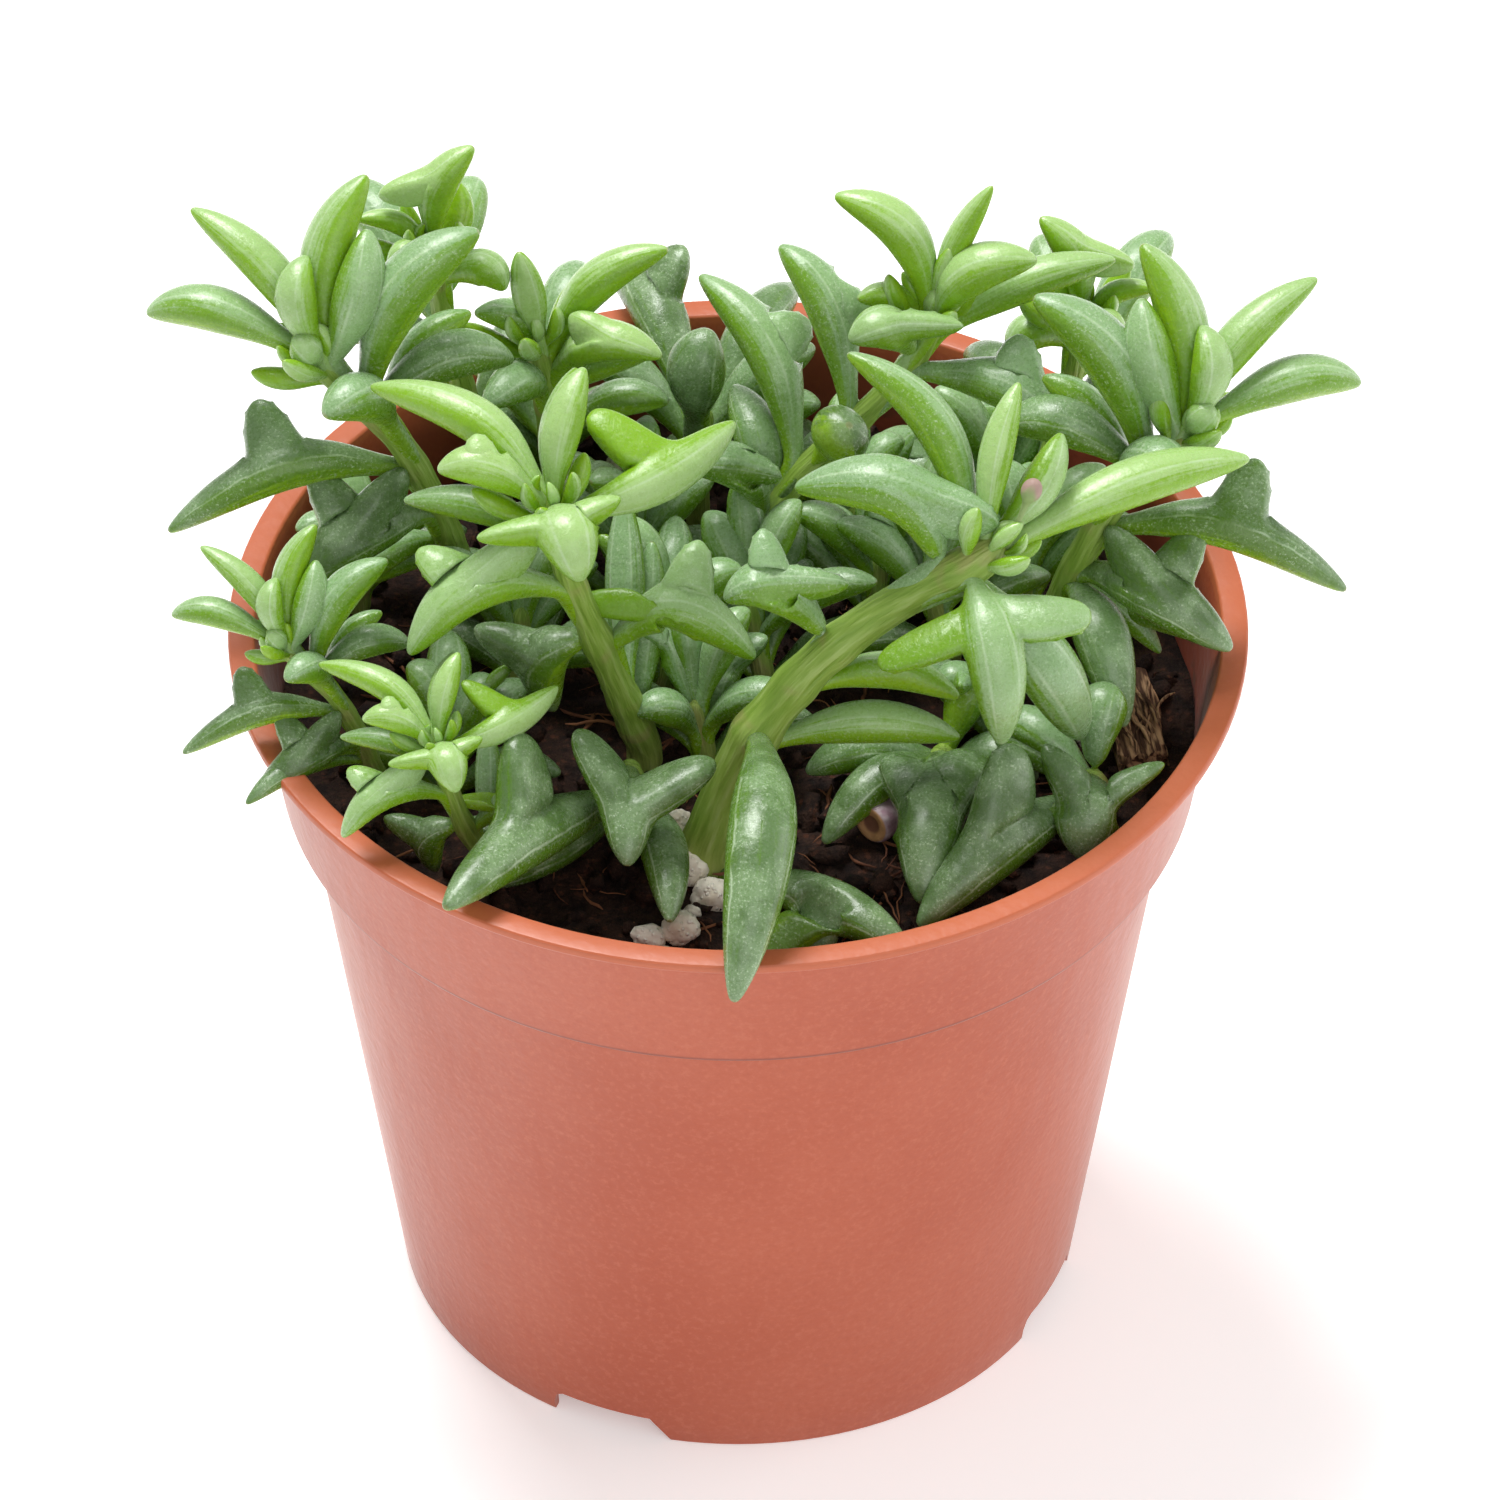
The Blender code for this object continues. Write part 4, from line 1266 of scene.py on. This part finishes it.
def leaf_skin():
    finish = Finish(
        "leaf_skin",
        Specular_IOR_Level=0.5,
        Coat_Weight=0.2,
        Coat_Roughness=0.22,
        Subsurface_Weight=0.12,
        Subsurface_Radius=(0.5, 1.0, 0.25),
        Subsurface_Scale=1.2 * MM,
    )
    side, up, share = finish.parts(finish.attribute("leaf_place"))
    age, tip, shade = finish.parts(finish.attribute("leaf_kind"))
    patches = finish.cloud(240.0, 4.0)
    grain = finish.cloud(1500.0, 4.0, None, 0.7)
    lines = finish.cloud(6.0, 4.0, finish.vector(side, up, share * 0.4 + shade * 9.0), 0.7)
    streaky = up + (patches - 0.5) * 0.5 + (grain - 0.5) * 0.6 + (lines - 0.5) * 1.9
    young = 1 - finish.rise(age, 0.1, 0.65)
    old = finish.rise(age, 0.65, 0.95)
    sides = finish.mix(young, finish.mix(old, GREEN, DEEP), LIME)
    sides = finish.mix(finish.rise(shade, 0.2, 1.0) * 0.4, sides, GREEN)
    base = finish.rise(share, 0.3, 0.05)
    sides = finish.mix(base * 0.5, sides, UNDERSIDE)
    # The upper sides are paler: partly a waxy bloom, partly a painted highlight from the lamp
    # above.
    top = finish.mix(young, GREEN_WAX_HIGHLIGHT, LIME_WAX_HIGHLIGHT)
    top = finish.mix(old, top, finish.mix(finish.rise(patches, 0.4, 0.62), GLASS, GLASS_PALE))
    colour = finish.mix(finish.rise(streaky, 0.2, 0.8) * 0.85, sides, top)
    colour = finish.mix(finish.rise(streaky, -0.1, -0.7) * 0.8, colour, UNDERSIDE)
    window = finish.rise(share, 0.78, 0.95) * old * finish.rise(patches, 0.3, 0.5)
    colour = finish.mix(window * 0.7, colour, GLASS_PALE)
    dust = finish.cloud(3000.0, 2.0, None, 0.8)
    specks = finish.rise(dust, 0.56, 0.7) * finish.rise(patches, 0.3, 0.6)
    colour = finish.mix(specks * (0.2 + finish.rise(age, 0.1, 0.7) * 0.45), colour, FROST)
    mottle = finish.rise(dust, 0.46, 0.32) * finish.rise(age, 0.25, 0.8)
    colour = finish.mix(mottle * 0.4, colour, DEEP)
    ends = finish.rise(share, 0.14, 0.3) * finish.rise(share, 0.97, 0.88)
    edge = 0.46 + (patches - 0.5) * 0.4
    rim = finish.rise(abs(up - edge), 0.07, 0.01) * ends * finish.rise(age, 0.6, 0.95)
    colour = finish.mix(rim * finish.rise(patches, 0.3, 0.6) * 0.55, colour, FROST)
    veins = finish.rise(abs(abs(side) - 0.52), 0.09, 0.0) * finish.rise(up, 0.0, 0.4)
    veins = veins * ends * finish.rise(patches, 0.3, 0.5)
    colour = finish.mix(veins * (1 - old) * 0.38, colour, FROST)
    colour = finish.mix(finish.rise(tip, 0.93, 1.0) * 0.35, colour, TIP_BROWN)
    roughness = 0.2 + finish.rise(grain, 0.4, 0.7) * 0.2 + patches * 0.08
    height = grain * 0.5 + finish.cloud(420.0, 2.0)
    return finish.paint(colour, roughness, height, 0.2 * MM)


def cad_nodes(start):
    """The CAD nodes whose names start so. A shoot that only the visual model has gives none."""
    return [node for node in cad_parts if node.startswith(start)]


HIDDEN_TIPS = ("front_left", "front_middle", "front_right", "back_low")
stem_finish = stem_skin()
leaf_finish = leaf_skin()
dice = random.Random(21)
for shoot, (points, radius, leaves) in SHOOTS.items():
    route = stem_route(points)
    stem_bm = layered(STEM_LAYERS)
    stem_mesh(route, radius, leaves, stem_bm)
    add_piece(f"{shoot}_stem_skin", stem_bm, stem_finish, cad_nodes(f"{shoot}_stem"), 1)
    small = SMALL if shoot.startswith("low") else 1.0
    rows = list(leaves)
    if shoot not in HIDDEN_TIPS:
        rows += rosette_rows(route, small, dice)
    leaf_bm = leaves_mesh(route, radius, rows, dice)
    tucked_in(leaf_bm, 0, POT_HEIGHT)
    add_piece(f"{shoot}_leaves", leaf_bm, leaf_finish, cad_nodes(f"{shoot}_leaf"), 2)


# Undergrowth -----------------------------------------------------------------------------------
# Short side shoots that fill the pot between the long ones. Each is a thin stem with older,
# darker leaves that spiral round it. Each of four groups has a piece for stems and one for leaves.

UNDERGROWTH = (  # x, y, height and leaf length in mm, first leaf's turn in degrees
    (3, 4, 13, 15, 20),
    (-9, 1, 14, 14, 120),
    (25, 9, 13, 15, 60),
    (34, 15, 10, 14, 10),
    (12, 30, 7, 12, 80),
    (29, 31, 9, 13, 150),
    (-26, 4, 12, 14, 70),
    (-14, 20, 13, 15, 200),
    (-45, 20, 9, 13, 100),
    (-4, -8, 9, 12, 15),
    (31, -8, 8, 12, 95),
    (-34, -14, 8, 12, 210),
    (16, 14, 12, 15, 300),
    (2, 45, 5, 10, 35),
    (-22, 44, 5, 10, 140),
)
UNDERGROWTH_LEAVES = 9
UNDERGROWTH_RADIUS = 1.4
UNDERGROWTH_GROUPS = 4


def undergrowth_rows(length, turn, dice):
    rows = []
    for index in range(UNDERGROWTH_LEAVES):
        place = 0.3 + 0.68 * index / UNDERGROWTH_LEAVES
        heading = turn + index * GOLDEN_ANGLE
        out = Vector((math.cos(heading), math.sin(heading), 0))
        across = Vector((-out.y, out.x, 0))
        lean = math.radians(82 - 48 * index / UNDERGROWTH_LEAVES + dice.uniform(-8, 8))
        reach = (out * math.sin(lean) + Vector((0, 0, math.cos(lean)))) * length
        reach *= dice.uniform(0.85, 1.25)
        if reach.y < -0.35 * length:
            reach.y *= -0.8
        bow = Vector((0, 0, 2.6)) - out * 0.5
        width = dice.uniform(4.6, 5.8)
        age = 0.95 - 0.5 * index / UNDERGROWTH_LEAVES
        fins = []
        if index % 3 == 0:
            fins.append(tuple(across * dice.choice((-4.5, 4.5)) + out * 2 + Vector((0, 0, 3.5))))
        rows.append((place, tuple(reach), tuple(bow), width, age, fins))
    return rows


dice = random.Random(8)
for group in range(UNDERGROWTH_GROUPS):
    stems_bm = layered(STEM_LAYERS)
    leaves_bm = layered(LEAF_LAYERS)
    for x, y, height, length, turn in UNDERGROWTH[group::UNDERGROWTH_GROUPS]:
        lean = Vector((dice.uniform(-3, 3), dice.uniform(-3, 3), 0))
        top = height - SOIL_BELOW
        middle = (x + lean.x / 2, y + lean.y / 2, top - height / 2)
        points = [(x, y), middle, (x + lean.x, y + lean.y, top)]
        route = stem_route(points)
        rows = undergrowth_rows(length, math.radians(turn), dice)
        stem_mesh(route, UNDERGROWTH_RADIUS, rows, stems_bm)
        for row in rows:
            grow_leaf(leaves_bm, route, UNDERGROWTH_RADIUS, row, dice.random())
    tucked_in(leaves_bm, -RIM_RADIUS, POT_HEIGHT + 2 * MM)
    add_piece(f"undergrowth_{group + 1}_stems", stems_bm, stem_finish, [], 1)
    add_piece(f"undergrowth_{group + 1}_leaves", leaves_bm, leaf_finish, [], 2)


# Flower bud ------------------------------------------------------------------------------------
# One small bud on a thin stalk at the tip of the centre right shoot: green sepals round a
# pinkish, closed head.

BUD_FOOT = (31, -19, 28)
BUD_PLACE = (33.6, -19, 36.2)  # mm, as the shoots' points
BUD_SIDES = 10
BUD_STATIONS = (  # height and radius in mm
    (-4.0, 0.35),
    (-2.0, 0.35),
    (-0.6, 0.5),
    (0, 1.0),
    (0.8, 1.35),
    (1.7, 1.3),
    (2.4, 0.9),
    (2.8, 0.3),
)
STALK_RADIUS = 0.5 * MM
BUD_GREEN = (0.25, 0.34, 0.13)
BUD_PINK = (0.36, 0.24, 0.2)


def bud_mesh():
    bm = bmesh.new()
    layer = bm.verts.layers.float_vector.new("bud_place")
    foot, head = (
        Vector((x * MM, y * MM, POT_HEIGHT + z * MM)) for x, y, z in (BUD_FOOT, BUD_PLACE)
    )
    way = (head - foot).normalized()
    side = way.cross(Vector((0, 1, 0))).normalized()
    up = side.cross(way)
    rings = [ring_matrix(foot, side, up, way, STALK_RADIUS, STALK_RADIUS)]
    for height, radius in BUD_STATIONS:
        centre = head + way * height * MM
        rings.append(ring_matrix(centre, side, up, way, radius * MM, radius * MM))

    def mark(vertex, local, index):
        turn = math.atan2(local.y, local.x) * BUD_SIDES / 4
        vertex[layer] = (max(0, index - 3) / 5, math.cos(turn), 0)

    extruded(bm, rings, BUD_SIDES, mark)
    return bm


def bud_skin():
    finish = Finish("bud_skin", Specular_IOR_Level=0.4)
    height, sepal, _ = finish.parts(finish.attribute("bud_place"))
    pink = finish.rise(height + sepal * 0.25, 0.3, 0.75)
    colour = finish.mix(pink, BUD_GREEN, BUD_PINK)
    grain = finish.cloud(1800.0)
    return finish.paint(colour, 0.5 + grain * 0.1, grain, 0.1 * MM)


add_piece("flower_bud", bud_mesh(), bud_skin(), [], 2)


# Floor, lights and camera ----------------------------------------------------------------------
# A plain white floor under a soft white sky. The strongest lamp is above and behind, and two
# larger, weaker ones fill from the right and from the front.

FLOOR_SIZE = 6.0
FLOOR_WHITE = (0.9, 0.9, 0.9)
FLOOR_WHITER = (0.93, 0.93, 0.93)
FLOOR_GLOW = 0.3
SKY_STRENGTH = 0.46
LAMP_TARGET = Vector((0, 0, 0.1))
CAMERA_REACH = 2.5  # metres from the middle of the pot's rim
CAMERA_HEIGHT_ANGLE = 0.7136  # above the rim's level, in radians
CAMERA_PITCH = 0.7194  # how far it looks down, in radians
CAMERA_LENS = 510.5
CAMERA_SENSOR = 36
CAMERA_SHIFT = 0.0079

floor_bm = bmesh.new()
bmesh.ops.create_grid(floor_bm, x_segments=1, y_segments=1, size=FLOOR_SIZE / 2)
floor = mesh_object("floor", floor_bm)
floor_paint = Finish("floor_paper", Specular_IOR_Level=0.2, Emission_Strength=FLOOR_GLOW)
floor_paint.shader.inputs["Emission Color"].default_value = (1, 1, 1, 1)
tone = floor_paint.mix(floor_paint.cloud(3.0, 1.0), FLOOR_WHITE, FLOOR_WHITER)
floor.data.materials.append(floor_paint.paint(tone, 0.8 + floor_paint.cloud(5.0) * 0.1))

sky = bpy.data.worlds.new("studio")
sky.use_nodes = True
sky_light = sky.node_tree.nodes["Background"]
sky_light.inputs["Color"].default_value = (1, 1, 1, 1)
sky_light.inputs["Strength"].default_value = SKY_STRENGTH
bpy.context.scene.world = sky

LAMPS = (  # name, place, size, watts
    ("soft_lamp", (-0.25, 0.4, 1.1), 0.45, 14),
    ("side_lamp", (1.1, 0.2, 0.45), 0.8, 4),
    ("fill_lamp", (0.4, -1.3, 0.9), 1.2, 8),
)
for name, place, size, watts in LAMPS:
    lamp_data = bpy.data.lights.new(name, "AREA")
    lamp_data.energy = watts
    lamp_data.size = size
    lamp = new_object(name, lamp_data)
    lamp.location = place
    lamp.rotation_euler = (LAMP_TARGET - lamp.location).to_track_quat("-Z", "Y").to_euler()

camera_data = bpy.data.cameras.new("camera")
camera_data.sensor_width = CAMERA_SENSOR
camera_data.lens = CAMERA_LENS
camera_data.shift_x = CAMERA_SHIFT
camera = new_object("camera", camera_data)
camera.location = (
    0,
    -CAMERA_REACH * math.cos(CAMERA_HEIGHT_ANGLE),
    POT_HEIGHT + CAMERA_REACH * math.sin(CAMERA_HEIGHT_ANGLE),
)
camera.rotation_euler = (math.pi / 2 - CAMERA_PITCH, 0, 0)
bpy.context.scene.camera = camera
bpy.context.scene.view_settings.view_transform = "Standard"
